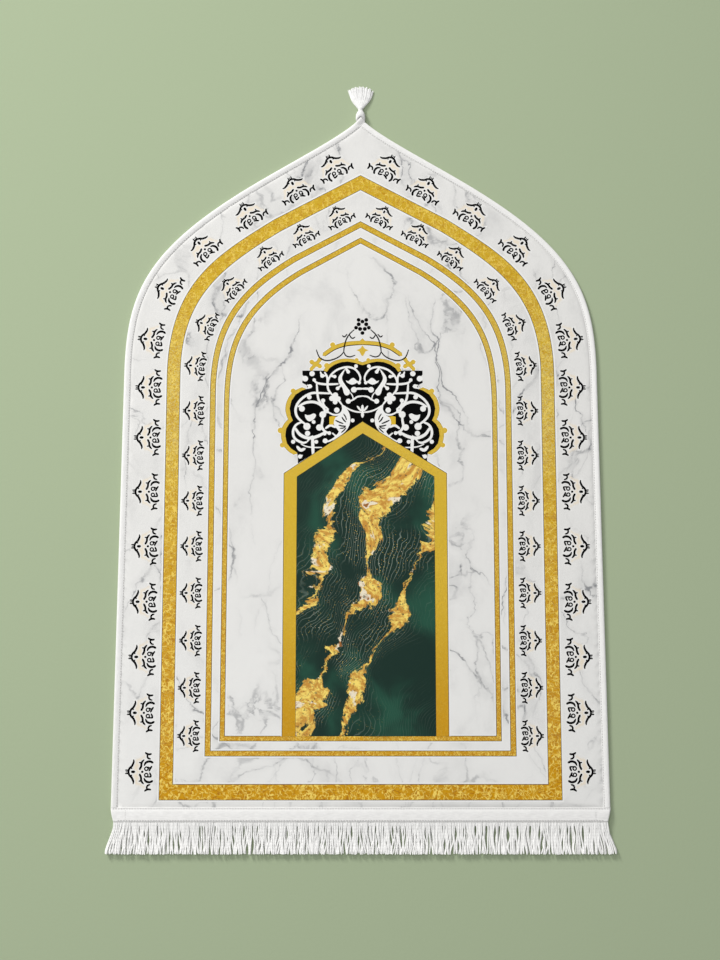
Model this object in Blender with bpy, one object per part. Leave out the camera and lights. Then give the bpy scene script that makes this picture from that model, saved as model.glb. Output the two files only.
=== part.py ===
"""A pointed-arch prayer rug that lies flat.

The padded panel is bound along both sides with a folded strip, and along its
straight end with a folded heading tape.  A fringe leaves the tape, and a
tassel is tied on at the point.  Metres, +Z up: the rug rests on z = 0, it is
symmetric about x = 0, and its point looks towards +Y.
"""

import math
import random

import bmesh
import bpy
import numpy as np

# The whole outline, in metres.  The right-hand edge has three stretches: a
# side that leans in a little, a shoulder arc, and a flank that sweeps up.
BASE_HALF_WIDTH = 0.350
SPRING_HALF_WIDTH = 0.3456
SPRING_Y = 0.1123
SHOULDER_END_X = 0.1584
SHOULDER_END_Y = 0.4096
SHOULDER_END_SLOPE = math.radians(31.9)
SHOULDER_RISE = 0.1247
SHOULDER_PULL = 0.1969
FLANK_PULL = 0.0785
POINT_Y = 0.5140
POINT_SLOPE = math.radians(54.4)
POINT_PULL = 0.0296
POINT_ROUNDING = 0.003

SIDE_STATIONS = 4
SHOULDER_STATIONS = 20
FLANK_STATIONS = 14
SEARCH_STEPS = 2001

# The clearance between pieces that touch.
GAP = 0.0003

# Faces that meet at less than this angle are shaded as one round surface.
SMOOTH_ANGLE = math.radians(45)

# The heading tape, from its folded lower edge to its stitched upper edge.
TAPE_FOLD_Y = -0.5175
TAPE_TOP_Y = -0.4980
TAPE_WIDTH = TAPE_TOP_Y - TAPE_FOLD_Y
TAPE_END_TURN = 0.004
TAPE_END_SOFTNESS = 0.0009

# The pocket inside the tape, which holds the panel's straight hem.
POCKET_LOW = 0.0010
POCKET_HIGH = 0.0038
POCKET_FOLD_INSET = 0.0020
POCKET_END_WALL = 0.0020
POCKET_TAPER = 0.0061

# The panel's rings, from the middle of its underside round its hem to the
# middle of its top.
# columns: inset from the side edges, inset from the tape's fold, height,
# corner cut across, corner cut upwards
PANEL_RINGS = (
    (0.0110, 0.0240, 0.0000, 0.0040, 0.0040),
    (0.0078, 0.0202, 0.0013, 0.0040, 0.0040),
    (0.0023, 0.0023, 0.0013, 0.0062, 0.0172),
    (0.0023, 0.0023, 0.0035, 0.0062, 0.0172),
    (0.0079, 0.0199, 0.0035, 0.0040, 0.0040),
    (0.0092, 0.0214, 0.0040, 0.0040, 0.0040),
    (0.0130, 0.0250, 0.0044, 0.0040, 0.0040),
)

# The folded strip round the side edges, as a closed section.
# columns: inset from the edge, height
BINDING_SECTION = (
    (0.0000, 0.0027),
    (0.0004, 0.0041),
    (0.0014, 0.0051),
    (0.0030, 0.0055),
    (0.0048, 0.0052),
    (0.0065, 0.0046),
    (0.0075, 0.0041),
    (0.0075, 0.0038),
    (0.0020, 0.0038),
    (0.0020, 0.0010),
    (0.0072, 0.0010),
    (0.0072, 0.0000),
    (0.0016, 0.0000),
    (0.0004, 0.0011),
)
BINDING_WIDTH = 0.0075

# The outside of the folded heading tape, as a closed section.
# columns: distance up from the fold, height
TAPE_SECTION = (
    (0.0000, 0.0027),
    (0.0005, 0.0042),
    (0.0018, 0.0050),
    (0.0045, 0.0056),
    (0.0100, 0.0059),
    (0.0155, 0.0056),
    (0.0180, 0.0050),
    (0.0195, 0.0044),
    (0.0195, 0.0004),
    (0.0192, 0.0000),
    (0.0018, 0.0000),
    (0.0005, 0.0010),
)

# The fringe: a woven header under the tape, and locks of cut yarns.
HEADER_HALF_WIDTH = 0.3455
HEADER_DEPTH = 0.0045
HEADER_HEIGHT = 0.0026
FRINGE_END_Y = -0.5613
LOCK_COUNT = 36
YARNS_IN_LOCK = 6
LOCK_GAP = 0.0018
STRAND_TOP_SHARE = 0.65
# columns: share of the yarn's length, share of its sideways shift, half width, height
YARN_STATIONS = (
    (0.33, 0.28, 0.00128, 0.0025),
    (0.67, 0.64, 0.00124, 0.0022),
    (1.00, 1.00, 0.00118, 0.0018),
)
YARN_RAGGEDNESS = 0.0016
YARN_WANDER = 0.00012
LOCK_WANDER = 0.0007
CORNER_SPLAY = 0.01355
CORNER_REACH = 0.016
FRINGE_SEED = 5

# The tassel.  Its head is notched round the rug's point, and its skirt lies
# in a lower and an upper layer of strands.
# columns: y, how far the section follows the notch, half width, lowest point,
# height, how boxy the section is
TASSEL_SECTIONS = (
    (0.5128, 1.0, 0.0066, 0.0000, 0.0080, 0.0),
    (0.5152, 0.4, 0.0072, 0.0000, 0.0092, 0.0),
    (0.5175, 0.0, 0.0069, 0.0000, 0.0094, 0.0),
    (0.5205, 0.0, 0.0056, 0.0002, 0.0086, 0.0),
    (0.5238, 0.0, 0.0037, 0.0005, 0.0070, 0.0),
    (0.5256, 0.0, 0.0033, 0.0006, 0.0064, 0.0),
    (0.5285, 0.0, 0.0057, 0.0002, 0.0062, 0.4),
    (0.5322, 0.0, 0.0089, 0.0000, 0.0054, 1.0),
)
SECTION_WAIST_SHARE = 0.42
SECTION_ROW_ARC = math.radians(75)
SECTION_FLAT_BASE = 1.25
POINT_TOP_Y = 0.5128
NOTCH_GAP = 0.0006
SKIRT_COLUMNS = 14
SKIRT_LAYER_SPLIT = 0.0026
SKIRT_STRAND_FILL = 0.88
SKIRT_RAGGEDNESS = 0.0014
# columns: y on the centre line, fall of y at the sides, half width,
# height of the lower layer, lowest point and height of the upper layer
SKIRT_STATIONS = (
    (0.5408, 0.0008, 0.0131, 0.0023, 0.0026, 0.0050),
    (0.5505, 0.0024, 0.0157, 0.0021, 0.0024, 0.0044),
    (0.5613, 0.0046, 0.0182, 0.0019, 0.0022, 0.0038),
)
TASSEL_SEED = 11

# Finishes: colour, roughness and metallic value of each piece.
FINISHES = {
    "mat": ((0.80, 0.79, 0.76), 0.90, 0.0),
    "binding_left": ((0.84, 0.83, 0.80), 0.85, 0.0),
    "binding_right": ((0.84, 0.83, 0.80), 0.85, 0.0),
    "heading_tape": ((0.84, 0.83, 0.80), 0.85, 0.0),
    "fringe": ((0.86, 0.85, 0.82), 0.80, 0.0),
    "tassel": ((0.87, 0.86, 0.84), 0.75, 0.0),
}


def clear_objects():
    """Removes whatever the file holds."""
    for old in list(bpy.data.objects):
        bpy.data.objects.remove(old, do_unlink=True)


def make_material(name):
    """The Principled finish of one piece."""
    color, roughness, metallic = FINISHES[name]
    material = bpy.data.materials.new(name)
    material.use_nodes = True
    shader = material.node_tree.nodes["Principled BSDF"]
    shader.inputs["Base Color"].default_value = (*color, 1.0)
    shader.inputs["Roughness"].default_value = roughness
    shader.inputs["Metallic"].default_value = metallic
    return material


def add_piece(name, bm, collection):
    """Turns a finished bmesh into one named object with its own finish."""
    bmesh.ops.recalc_face_normals(bm, faces=bm.faces)
    mesh = bpy.data.meshes.new(name)
    bm.to_mesh(mesh)
    bm.free()
    mesh.shade_smooth()
    mesh.set_sharp_from_angle(angle=SMOOTH_ANGLE)
    mesh.materials.append(make_material(name))
    piece = bpy.data.objects.new(name, mesh)
    collection.objects.link(piece)
    return piece


def arc(controls, steps):
    """Points and inward normals of a cubic arc on the right-hand edge."""
    p0, p1, p2, p3 = np.array(controls)
    t = np.asarray(steps)[:, None]
    points = (1 - t) ** 3 * p0 + 3 * t * (1 - t) ** 2 * p1 + 3 * t * t * (1 - t) * p2 + t ** 3 * p3
    along = (1 - t) ** 2 * (p1 - p0) + 2 * t * (1 - t) * (p2 - p1) + t * t * (p3 - p2)
    along /= np.linalg.norm(along, axis=1)[:, None]
    normals = np.column_stack((-along[:, 1], along[:, 0]))
    return points, normals


def shoulder(steps):
    """The arc from the straight side up to the flank."""
    pull_x = SHOULDER_PULL * math.cos(SHOULDER_END_SLOPE)
    pull_y = SHOULDER_PULL * math.sin(SHOULDER_END_SLOPE)
    controls = (
        (SPRING_HALF_WIDTH, SPRING_Y),
        (SPRING_HALF_WIDTH, SPRING_Y + SHOULDER_RISE),
        (SHOULDER_END_X + pull_x, SHOULDER_END_Y - pull_y),
        (SHOULDER_END_X, SHOULDER_END_Y),
    )
    return arc(controls, steps)


def flank(steps):
    """The arc from the shoulder up to the point, which steepens as it goes."""
    start_x = SHOULDER_END_X - FLANK_PULL * math.cos(SHOULDER_END_SLOPE)
    start_y = SHOULDER_END_Y + FLANK_PULL * math.sin(SHOULDER_END_SLOPE)
    end_x = POINT_PULL * math.cos(POINT_SLOPE)
    end_y = POINT_Y - POINT_PULL * math.sin(POINT_SLOPE)
    controls = (
        (SHOULDER_END_X, SHOULDER_END_Y),
        (start_x, start_y),
        (end_x, end_y),
        (0.0, POINT_Y),
    )
    return arc(controls, steps)


def moved_in(curve, inset):
    """A stretch of the edge, moved inwards by an even inset."""
    points, normals = curve
    return points + inset * normals


def side_half_width(y):
    """Half the rug's width along its leaning sides."""
    share = (y - TAPE_TOP_Y) / (SPRING_Y - TAPE_TOP_Y)
    return BASE_HALF_WIDTH + share * (SPRING_HALF_WIDTH - BASE_HALF_WIDTH)


def edge(inset, flank_share, start_y):
    """The right-hand edge moved inwards, from start_y up along the flank."""
    side_y = np.linspace(start_y, SPRING_Y, SIDE_STATIONS, endpoint=False)
    side = np.column_stack((side_half_width(side_y) - inset, side_y))
    arch = moved_in(shoulder(np.linspace(0, 1, SHOULDER_STATIONS, endpoint=False)), inset)
    rise = moved_in(flank(np.linspace(0, 1, FLANK_STATIONS) * flank_share), inset)
    return np.vstack((side, arch, rise))


def meeting(inset, other_inset):
    """The share of the flank, at this inset, where the opposite edge is met."""
    steps = np.linspace(0, 1, SEARCH_STEPS)
    own = moved_in(flank(steps), inset)
    other = moved_in(flank(steps), other_inset)
    other_y = np.interp(own[:, 0], -other[:, 0], other[:, 1])
    crossed = own[:, 1] - other_y
    first = int(np.argmax(crossed > 0))
    part = crossed[first - 1] / (crossed[first - 1] - crossed[first])
    return steps[first - 1] + part * (steps[1] - steps[0])


def loft(bm, rings, closed_ends):
    """Joins rings of points by quads, and may close the first and last."""
    loops = [[bm.verts.new(point) for point in ring] for ring in rings]
    count = len(loops[0])
    for low, high in zip(loops, loops[1:]):
        for side in range(count):
            follow = (side + 1) % count
            bm.faces.new((low[side], low[follow], high[follow], high[side]))
    if closed_ends:
        bm.faces.new(loops[0])
        bm.faces.new(loops[-1])
    return loops


def panel_ring(inset, fold_inset, height, corner_across, corner_up):
    """One closed ring of the panel at an even inset from every edge."""
    low_y = TAPE_FOLD_Y + fold_inset
    right = edge(inset, meeting(inset, inset), low_y + corner_up)
    low = np.array([(right[0, 0] - corner_across, low_y)])
    right = np.vstack((low, right))
    left = right[-2::-1] * (-1, 1)
    ring = np.vstack((right, left))
    return np.column_stack((ring, np.full(len(ring), height)))


def add_mat(collection):
    """The padded panel, thinner along its hem, where the strips hold it."""
    bm = bmesh.new()
    loft(bm, [panel_ring(*row) for row in PANEL_RINGS], True)
    return add_piece("mat", bm, collection)


def binding_rails(end_inset):
    """Each corner of the strip's section, carried along the right-hand edge.

    end_inset gives, for a corner's inset, the inset of the opposite edge at
    which that corner stops.
    """
    rails = []
    for inset, height in BINDING_SECTION:
        path = edge(inset, meeting(inset, end_inset(inset)), TAPE_TOP_Y + GAP)
        rails.append(np.column_stack((path, np.full(len(path), height))))
    return np.array(rails).transpose(1, 0, 2)


def rounded_end(inset):
    """The overlapping strip runs to the opposite edge with a rounded corner."""
    if inset >= POINT_ROUNDING:
        return 0.0
    back = POINT_ROUNDING - inset
    return POINT_ROUNDING - math.sqrt(POINT_ROUNDING ** 2 - back ** 2)


def butted_end(inset):
    """The other strip stops against the overlapping one's inner edge."""
    return BINDING_WIDTH + GAP


def add_binding(name, mirrored, end_inset, collection):
    """A strip folded round one side edge, from the tape to the point."""
    rings = binding_rails(end_inset)
    if mirrored:
        rings = rings * (-1, 1, 1)
    bm = bmesh.new()
    loft(bm, rings, True)
    return add_piece(name, bm, collection)


def add_pocket(cutters):
    """The cutter for the pocket in the tape, narrower towards the fold."""
    top_x = side_half_width(TAPE_TOP_Y) - POCKET_END_WALL
    fold_x = top_x - POCKET_TAPER
    fold_y = TAPE_FOLD_Y + POCKET_FOLD_INSET
    past_top_y = TAPE_TOP_Y + POCKET_END_WALL
    right = ((fold_x, fold_y), (top_x, TAPE_TOP_Y), (top_x, past_top_y))
    plan = right + tuple((-x, y) for x, y in reversed(right))
    bm = bmesh.new()
    loft(bm, [[(x, y, z) for x, y in plan] for z in (POCKET_LOW, POCKET_HIGH)], True)
    bmesh.ops.recalc_face_normals(bm, faces=bm.faces)
    mesh = bpy.data.meshes.new("tape_pocket")
    bm.to_mesh(mesh)
    bm.free()
    pocket = bpy.data.objects.new("tape_pocket", mesh)
    pocket.hide_render = True
    pocket.display_type = "WIRE"
    cutters.objects.link(pocket)
    return pocket


def add_heading_tape(collection, cutters):
    """The tape folded over the panel's straight end, its own ends turned in."""
    section = np.array(TAPE_SECTION)
    up = TAPE_FOLD_Y + section[:, 0]
    height = section[:, 1]
    from_top = np.clip(1 - section[:, 0] / TAPE_WIDTH, 0.0, 1.0)
    end_x = side_half_width(TAPE_TOP_Y) - TAPE_END_TURN * from_top ** 1.5
    soft_height = np.where(height > POCKET_HIGH, height - TAPE_END_SOFTNESS, height)
    left_end = np.column_stack((-end_x, up, soft_height))
    left = np.column_stack((TAPE_END_TURN - end_x, up, height))
    rings = [left_end, left, left * (-1, 1, 1), left_end * (-1, 1, 1)]
    bm = bmesh.new()
    loft(bm, rings, True)
    tape = add_piece("heading_tape", bm, collection)
    cut = tape.modifiers.new("pocket", "BOOLEAN")
    cut.operation = "DIFFERENCE"
    cut.solver = "EXACT"
    cut.object = add_pocket(cutters)
    return tape


def grow_strand(bm, root, sections):
    """Carries a strand on from four root corners, and closes its tip."""
    ring = root
    for section in sections:
        grown = [bm.verts.new(corner) for corner in section]
        for side in range(4):
            follow = (side + 1) % 4
            bm.faces.new((ring[side], ring[follow], grown[follow], grown[side]))
        ring = grown
    bm.faces.new(ring)


def strand_section(x, y, half_width, low, high):
    """Four corners of a strand: low left, low right, high right, high left."""
    top = half_width * STRAND_TOP_SHARE
    return ((x - half_width, y, low), (x + half_width, y, low), (x + top, y, high), (x - top, y, high))


def yarn_sections(x, shift, raggedness):
    """A fringe yarn's stations, lying level, and splayed out at the corners."""
    from_corner = HEADER_HALF_WIDTH - abs(x)
    splay = math.copysign(CORNER_SPLAY * math.exp(-from_corner / CORNER_REACH), x)
    root_y = TAPE_FOLD_Y - GAP - HEADER_DEPTH
    length = root_y - FRINGE_END_Y - raggedness
    sections = []
    for share, shift_share, half_width, height in YARN_STATIONS:
        station_x = x + shift_share * (splay + shift)
        sections.append(strand_section(station_x, root_y - share * length, half_width, 0.0, height))
    return sections


def fringe_columns():
    """Edges of the header's columns, and which of them carry a yarn."""
    lock_pitch = (2 * HEADER_HALF_WIDTH + LOCK_GAP) / LOCK_COUNT
    yarn_pitch = (lock_pitch - LOCK_GAP) / YARNS_IN_LOCK
    edges = []
    for lock in range(LOCK_COUNT):
        left = -HEADER_HALF_WIDTH + lock * lock_pitch
        edges += [left + yarn * yarn_pitch for yarn in range(YARNS_IN_LOCK + 1)]
    carries_yarn = [(column + 1) % (YARNS_IN_LOCK + 1) != 0 for column in range(len(edges) - 1)]
    return edges, carries_yarn


def header_columns(bm, edges):
    """Corners of the woven header at each column edge, closed but for its front."""
    back_y = TAPE_FOLD_Y - GAP
    front_y = back_y - HEADER_DEPTH
    corners = ((back_y, 0.0), (back_y, HEADER_HEIGHT), (front_y, HEADER_HEIGHT), (front_y, 0.0))
    rings = [[(x, y, z) for y, z in corners] for x in edges]
    loops = [[bm.verts.new(point) for point in ring] for ring in rings]
    for left, right in zip(loops, loops[1:]):
        for side in (0, 1, 3):
            follow = (side + 1) % 4
            bm.faces.new((left[side], left[follow], right[follow], right[side]))
    bm.faces.new(loops[0])
    bm.faces.new(loops[-1])
    return loops


def add_fringe(collection):
    """The header strip with its yarns, which lie level on the floor."""
    rng = random.Random(FRINGE_SEED)
    edges, carries_yarn = fringe_columns()
    bm = bmesh.new()
    loops = header_columns(bm, edges)
    last = len(carries_yarn) - 1
    lock_shift = 0.0
    for column, has_yarn in enumerate(carries_yarn):
        left, right = loops[column], loops[column + 1]
        root = (left[3], right[3], right[2], left[2])
        if not has_yarn:
            bm.faces.new(root)
            lock_shift = rng.uniform(-LOCK_WANDER, LOCK_WANDER)
            continue
        shift = rng.uniform(-YARN_WANDER, YARN_WANDER)
        raggedness = rng.uniform(0.0, YARN_RAGGEDNESS)
        if YARNS_IN_LOCK < column < last - YARNS_IN_LOCK:
            shift += lock_shift
        if column in (0, last):
            shift, raggedness = 0.0, 0.0
        x = (edges[column] + edges[column + 1]) / 2
        grow_strand(bm, root, yarn_sections(x, shift, raggedness))
    return add_piece("fringe", bm, collection)


def point_outline_y(x):
    """How far up the rug reaches at x, near its rounded point."""
    points, _ = flank(np.linspace(0, 1, SEARCH_STEPS))
    up = np.interp(np.abs(x), points[::-1, 0], points[::-1, 1])
    return np.minimum(up, POINT_TOP_Y)


def tassel_ring(y, follow_notch, half_width, low, high, boxy):
    """One closed section of the tassel: lower row, right side, upper row, left side."""
    columns = np.linspace(-1, 1, SKIRT_COLUMNS + 1)
    waist = low + (high - low) * SECTION_WAIST_SHARE
    round_x = np.sin(columns * SECTION_ROW_ARC)
    bulge = np.sqrt(1 - round_x ** 2)
    row_x = half_width * ((1 - boxy) * round_x + boxy * columns)
    lower = waist - (waist - low) * ((1 - boxy) * np.minimum(1.0, SECTION_FLAT_BASE * bulge) + boxy)
    upper = waist + (high - waist) * ((1 - boxy) * bulge + boxy)
    side = (1 - boxy) * waist + boxy * SKIRT_LAYER_SPLIT
    x = np.hstack((row_x, half_width, row_x[::-1], -half_width))
    z = np.hstack((lower, side, upper[::-1], side))
    notched_y = point_outline_y(x) + NOTCH_GAP
    return np.column_stack((x, (1 - follow_notch) * y + follow_notch * notched_y, z))


def skirt_strand(column, upper, rng):
    """A skirt strand's stations, in the lower layer or in the upper one."""
    across = (2 * column + 1) / SKIRT_COLUMNS - 1
    half = SKIRT_STRAND_FILL / SKIRT_COLUMNS
    longest = column == SKIRT_COLUMNS // 2 and not upper
    raggedness = 0.0 if longest else rng.uniform(0.0, SKIRT_RAGGEDNESS)
    root_y = TASSEL_SECTIONS[-1][0]
    sections = []
    for centre_y, fall, half_width, lower_high, upper_low, upper_high in SKIRT_STATIONS:
        share = (centre_y - root_y) / (SKIRT_STATIONS[-1][0] - root_y)
        y = centre_y - fall * across ** 2 * (0.0 if longest else 1.0) - share * raggedness
        low, high = (upper_low, upper_high) if upper else (0.0, lower_high)
        sections.append(strand_section(across * half_width, y, half * half_width, low, high))
    return sections


def close_head(bm, loop):
    """Closes the notched end of the head, column by column."""
    row = SKIRT_COLUMNS + 1
    low, high = loop[:row], loop[row + 1:2 * row + 1][::-1]
    for column in range(SKIRT_COLUMNS):
        bm.faces.new((low[column], low[column + 1], high[column + 1], high[column]))
    bm.faces.new((low[0], high[0], loop[-1]))
    bm.faces.new((low[-1], loop[row], high[-1]))


def add_tassel(collection):
    """The tassel's head and neck, with the skirt's strands grown from them."""
    rng = random.Random(TASSEL_SEED)
    bm = bmesh.new()
    loops = loft(bm, [tassel_ring(*row) for row in TASSEL_SECTIONS], False)
    close_head(bm, loops[0])
    row = SKIRT_COLUMNS + 1
    last = loops[-1]
    low, high = last[:row], last[row + 1:2 * row + 1][::-1]
    inner = [bm.verts.new((v.co.x, v.co.y, SKIRT_LAYER_SPLIT)) for v in low[1:-1]]
    split = [last[-1]] + inner + [last[row]]
    for column in range(SKIRT_COLUMNS):
        lower_root = (low[column], low[column + 1], split[column + 1], split[column])
        upper_root = (split[column], split[column + 1], high[column + 1], high[column])
        grow_strand(bm, lower_root, skirt_strand(column, False, rng))
        grow_strand(bm, upper_root, skirt_strand(column, True, rng))
    return add_piece("tassel", bm, collection)


def main():
    clear_objects()
    collection = bpy.data.collections.new("prayer_rug")
    cutters = bpy.data.collections.new("cutters")
    bpy.context.scene.collection.children.link(collection)
    bpy.context.scene.collection.children.link(cutters)
    add_mat(collection)
    add_binding("binding_left", True, rounded_end, collection)
    add_binding("binding_right", False, butted_end, collection)
    add_heading_tape(collection, cutters)
    add_fringe(collection)
    add_tassel(collection)


main()
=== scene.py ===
"""A printed, padded prayer rug, dressed round its CAD frame.

Laid out as an add-on: the sizes and colours are properties, each group of
pieces is made by one operator, and main() calls the operators in order.
Everything is in metres in the CAD frame; the print's charts are in
millimetres, and say so.  The rug lies on z = 0 and points towards +Y.
"""

import math

import bmesh
import bpy
import numpy as np
from bpy.props import FloatProperty, FloatVectorProperty, IntProperty, PointerProperty
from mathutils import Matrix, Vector
from mathutils.geometry import delaunay_2d_cdt


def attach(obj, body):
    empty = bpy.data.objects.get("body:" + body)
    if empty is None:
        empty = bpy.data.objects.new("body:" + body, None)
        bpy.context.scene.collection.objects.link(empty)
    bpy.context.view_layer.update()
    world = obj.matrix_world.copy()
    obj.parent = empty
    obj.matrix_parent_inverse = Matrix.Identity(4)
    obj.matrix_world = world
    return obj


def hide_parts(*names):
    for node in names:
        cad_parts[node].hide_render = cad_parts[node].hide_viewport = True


bl_info = {
    "name": "Prayer Rug Dressing",
    "version": (1, 0, 0),
    "blender": (4, 5, 0),
    "location": "3D View > Sidebar > Rug",
    "description": "Builds the printed panel, strips, tape, fringe and tassel of a prayer rug",
    "category": "Object",
}

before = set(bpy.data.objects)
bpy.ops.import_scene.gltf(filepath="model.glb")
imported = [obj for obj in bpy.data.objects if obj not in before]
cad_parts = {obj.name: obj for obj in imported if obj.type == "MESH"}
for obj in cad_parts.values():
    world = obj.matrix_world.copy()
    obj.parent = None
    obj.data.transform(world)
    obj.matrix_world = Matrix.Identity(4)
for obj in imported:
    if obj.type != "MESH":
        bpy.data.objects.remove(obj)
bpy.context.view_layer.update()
BODY = "root"
MM = 0.001

# ---- The outline, as in the CAD: a leaning side, a shoulder arc and a flank ----
BASE_HALF_WIDTH = 0.350
SPRING_HALF_WIDTH = 0.3456
SPRING_Y = 0.1123
SHOULDER_END_X = 0.1584
SHOULDER_END_Y = 0.4096
SHOULDER_END_SLOPE = math.radians(31.9)
SHOULDER_RISE = 0.1247
SHOULDER_PULL = 0.1969
FLANK_PULL = 0.0785
POINT_Y = 0.5140
POINT_SLOPE = math.radians(54.4)
POINT_PULL = 0.0296
POINT_ROUNDING = 0.003
POINT_TOP_Y = 0.5128
# The left strip's end is folded over once more under the tassel, so its upper
# side rises between these two heights of y.
TAB_LOW_Y = 0.5000
TAB_LIFT = 0.0028
TAB_UPPER_SIDE = 0.0038

# Points along the edge's three stretches, and steps in a search along them.
SIDE_STATIONS = 90
SHOULDER_STATIONS = 90
FLANK_STATIONS = 56
SEARCH_STEPS = 4001
# Air between pieces.
GAP = 0.0003

# The heading tape: its fold and upper edge, its rolled ends, its lap over the
# strips, its crown, and its dips at the seams.
TAPE_FOLD_Y = -0.5175
TAPE_TOP_Y = -0.4980
TAPE_WIDTH = TAPE_TOP_Y - TAPE_FOLD_Y
TAPE_LENGTH = 2 * BASE_HALF_WIDTH
TAPE_END_TURN = 0.004
TAPE_ROLL = 0.0022
TAPE_ROLL_HEIGHT = 0.0042
TAPE_MIDDLE_START = 0.0132
TAPE_MIDDLE_STATIONS = 290
TAPE_LAP_START = 0.0100
TAPE_LAP_REACH = 0.0060
TAPE_TOP_START = 0.0044
TAPE_CROWN_UP = 0.0095
TAPE_CROWN_REACH = 0.0045
TAPE_CROWN_WAVE = 0.00022
TAPE_CROWN_RIPPLE = 0.0001
TAPE_SEAM_REACH = 0.0008
TAPE_SEAM_DIP = 0.00022
TAPE_CROSS_REACH = 0.0007
TAPE_CROSS_DIP = 0.00032

# The panel's rings below its face.
# columns: inset from the sides, inset from the fold, height, corner across, corner up
HEM_RING = (0.0023, 0.0023, 0.0035, 0.0062, 0.0172)
UNDER_RINGS = (
    (0.0023, 0.0023, 0.0013, 0.0062, 0.0172),
    (0.0078, 0.0202, 0.0013, 0.0040, 0.0040),
    (0.0110, 0.0240, 0.0000, 0.0040, 0.0040),
)
# Insets at which the pillowed face gets extra points; the fold's is larger.
PILLOW_INSETS = (0.0060, 0.0098, 0.0104, 0.0111, 0.0120, 0.0132, 0.0148, 0.0170, 0.0200)
PILLOW_START = 0.0099
PILLOW_SETTLE = 0.03
FOLD_EXTRA = 0.0100
GRID_INSET = 0.024
CORNER_CUT = 0.004

# The folded strip, outside then inside.
# columns: inset from the edge, height
STRIP_OUTSIDE = (
    (0.0016, 0.0000), (0.0004, 0.0011), (0.0000, 0.0026), (0.0005, 0.0040), (0.0015, 0.0047),
    (0.0030, 0.0050), (0.0050, 0.0049), (0.0068, 0.0046), (0.0082, 0.0043), (0.0096, 0.0040),
)
STRIP_INSIDE = (
    (0.0096, 0.0037), (0.0020, 0.0037), (0.0020, 0.0010), (0.0072, 0.0010), (0.0072, 0.0000),
)
STRIP_WIDTH = 0.0096
STRIP_SEAM_INSET = 0.0086
STRIP_SEAM_REACH = 0.0009
STRIP_SEAM_DIP = 0.00012
STRIP_RIDGE_INSET = 0.0030
STRIP_RIDGE_REACH = 0.0020
STRIP_RIDGE_WAVE = 0.00010
STRIP_RIDGE_PUFF = 0.00005
STRIP_TOP_START = 0.003

# The folded tape, outside then inside.
# columns: distance up from the fold, height
TAPE_OUTSIDE = (
    (0.0018, 0.0000), (0.0004, 0.0011), (0.0000, 0.0032), (0.0000, 0.0049), (0.0004, 0.0055),
    (0.0016, 0.0058), (0.0095, 0.0058), (0.0140, 0.0056), (0.0163, 0.0052), (0.0178, 0.0049),
    (0.0195, 0.0047),
)
TAPE_INSIDE = (
    (0.0195, 0.0038), (0.0020, 0.0038), (0.0020, 0.0010), (0.0192, 0.0010), (0.0192, 0.0000),
)
TAPE_SEAM_UP = 0.0178
TAPE_FOLD_SEAM_UP = 0.0020
TAPE_CROSS_SEAM_X = 0.329
CROSS_STITCH_LENGTH = 0.0015
CROSS_STITCH_PITCH = 0.0024
SECTION_STEPS = 4

# The fringe.
HEADER_HALF_WIDTH = 0.3455
HEADER_DEPTH = 0.0060
HEADER_HEIGHT = 0.0043
HEADER_BEAD = 0.0003
HEADER_BEAD_PITCH = 0.0038
HEADER_GIRTH = 0.014
HEADER_STATIONS = 1400
HEADER_SIDES = 14
FRINGE_END_Y = -0.5613
FRINGE_HALF_WIDTH = 0.3588
FRINGE_ROOT_Y = TAPE_FOLD_Y - 0.0006
FRINGE_ROOT_RISE = 0.0035
FRINGE_TIP_CURL = 0.0032
FRINGE_STATIONS = 17
FRINGE_FLATTEN = 0.58
YARN_SIDES = 7
LOCK_COUNT = 48
LOCK_SHIFT = 0.26
CLUMPS_IN_LOCK = 2
UNDER_LAYER_SHARE = 0.38
CORNER_SPLAY = 0.0112
CORNER_REACH = 0.024
CORNER_LOCK_NARROWING = 0.30
FRINGE_SEED = 5

# The tassel's head.
# columns: y, how far the section follows the notch, half width, lowest point, height
TASSEL_HEAD = (
    (0.5128, 1.0, 0.0062, 0.0002, 0.0062),
    (0.5140, 0.7, 0.0069, 0.0001, 0.0082),
    (0.5152, 0.4, 0.0072, 0.0000, 0.0091),
    (0.5175, 0.0, 0.0069, 0.0000, 0.0094),
    (0.5205, 0.0, 0.0056, 0.0002, 0.0086),
    (0.5238, 0.0, 0.0037, 0.0005, 0.0070),
    (0.5256, 0.0, 0.0033, 0.0006, 0.0064),
    (0.5285, 0.0, 0.0048, 0.0003, 0.0060),
)
NOTCH_GAP = 0.0006
HEAD_SIDES = 72
HEAD_STRANDS = 22
HEAD_GROOVE = 0.045
HEAD_WAIST = 0.42
# The tassel's skirt.
# columns: y, fall of y at the sides, half width, height
SKIRT_STATIONS = (
    (0.5250, 0.0000, 0.0026, 0.0056),
    (0.5285, 0.0002, 0.0037, 0.0056),
    (0.5322, 0.0005, 0.0060, 0.0053),
    (0.5400, 0.0014, 0.0115, 0.0048),
    (0.5490, 0.0030, 0.0155, 0.0045),
    (0.5626, 0.0056, 0.0188, 0.0042),
)
SKIRT_END_Y = 0.5630
SKIRT_LAYERS = 3
SKIRT_FLATTEN = 0.62
TASSEL_SEED = 11

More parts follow.
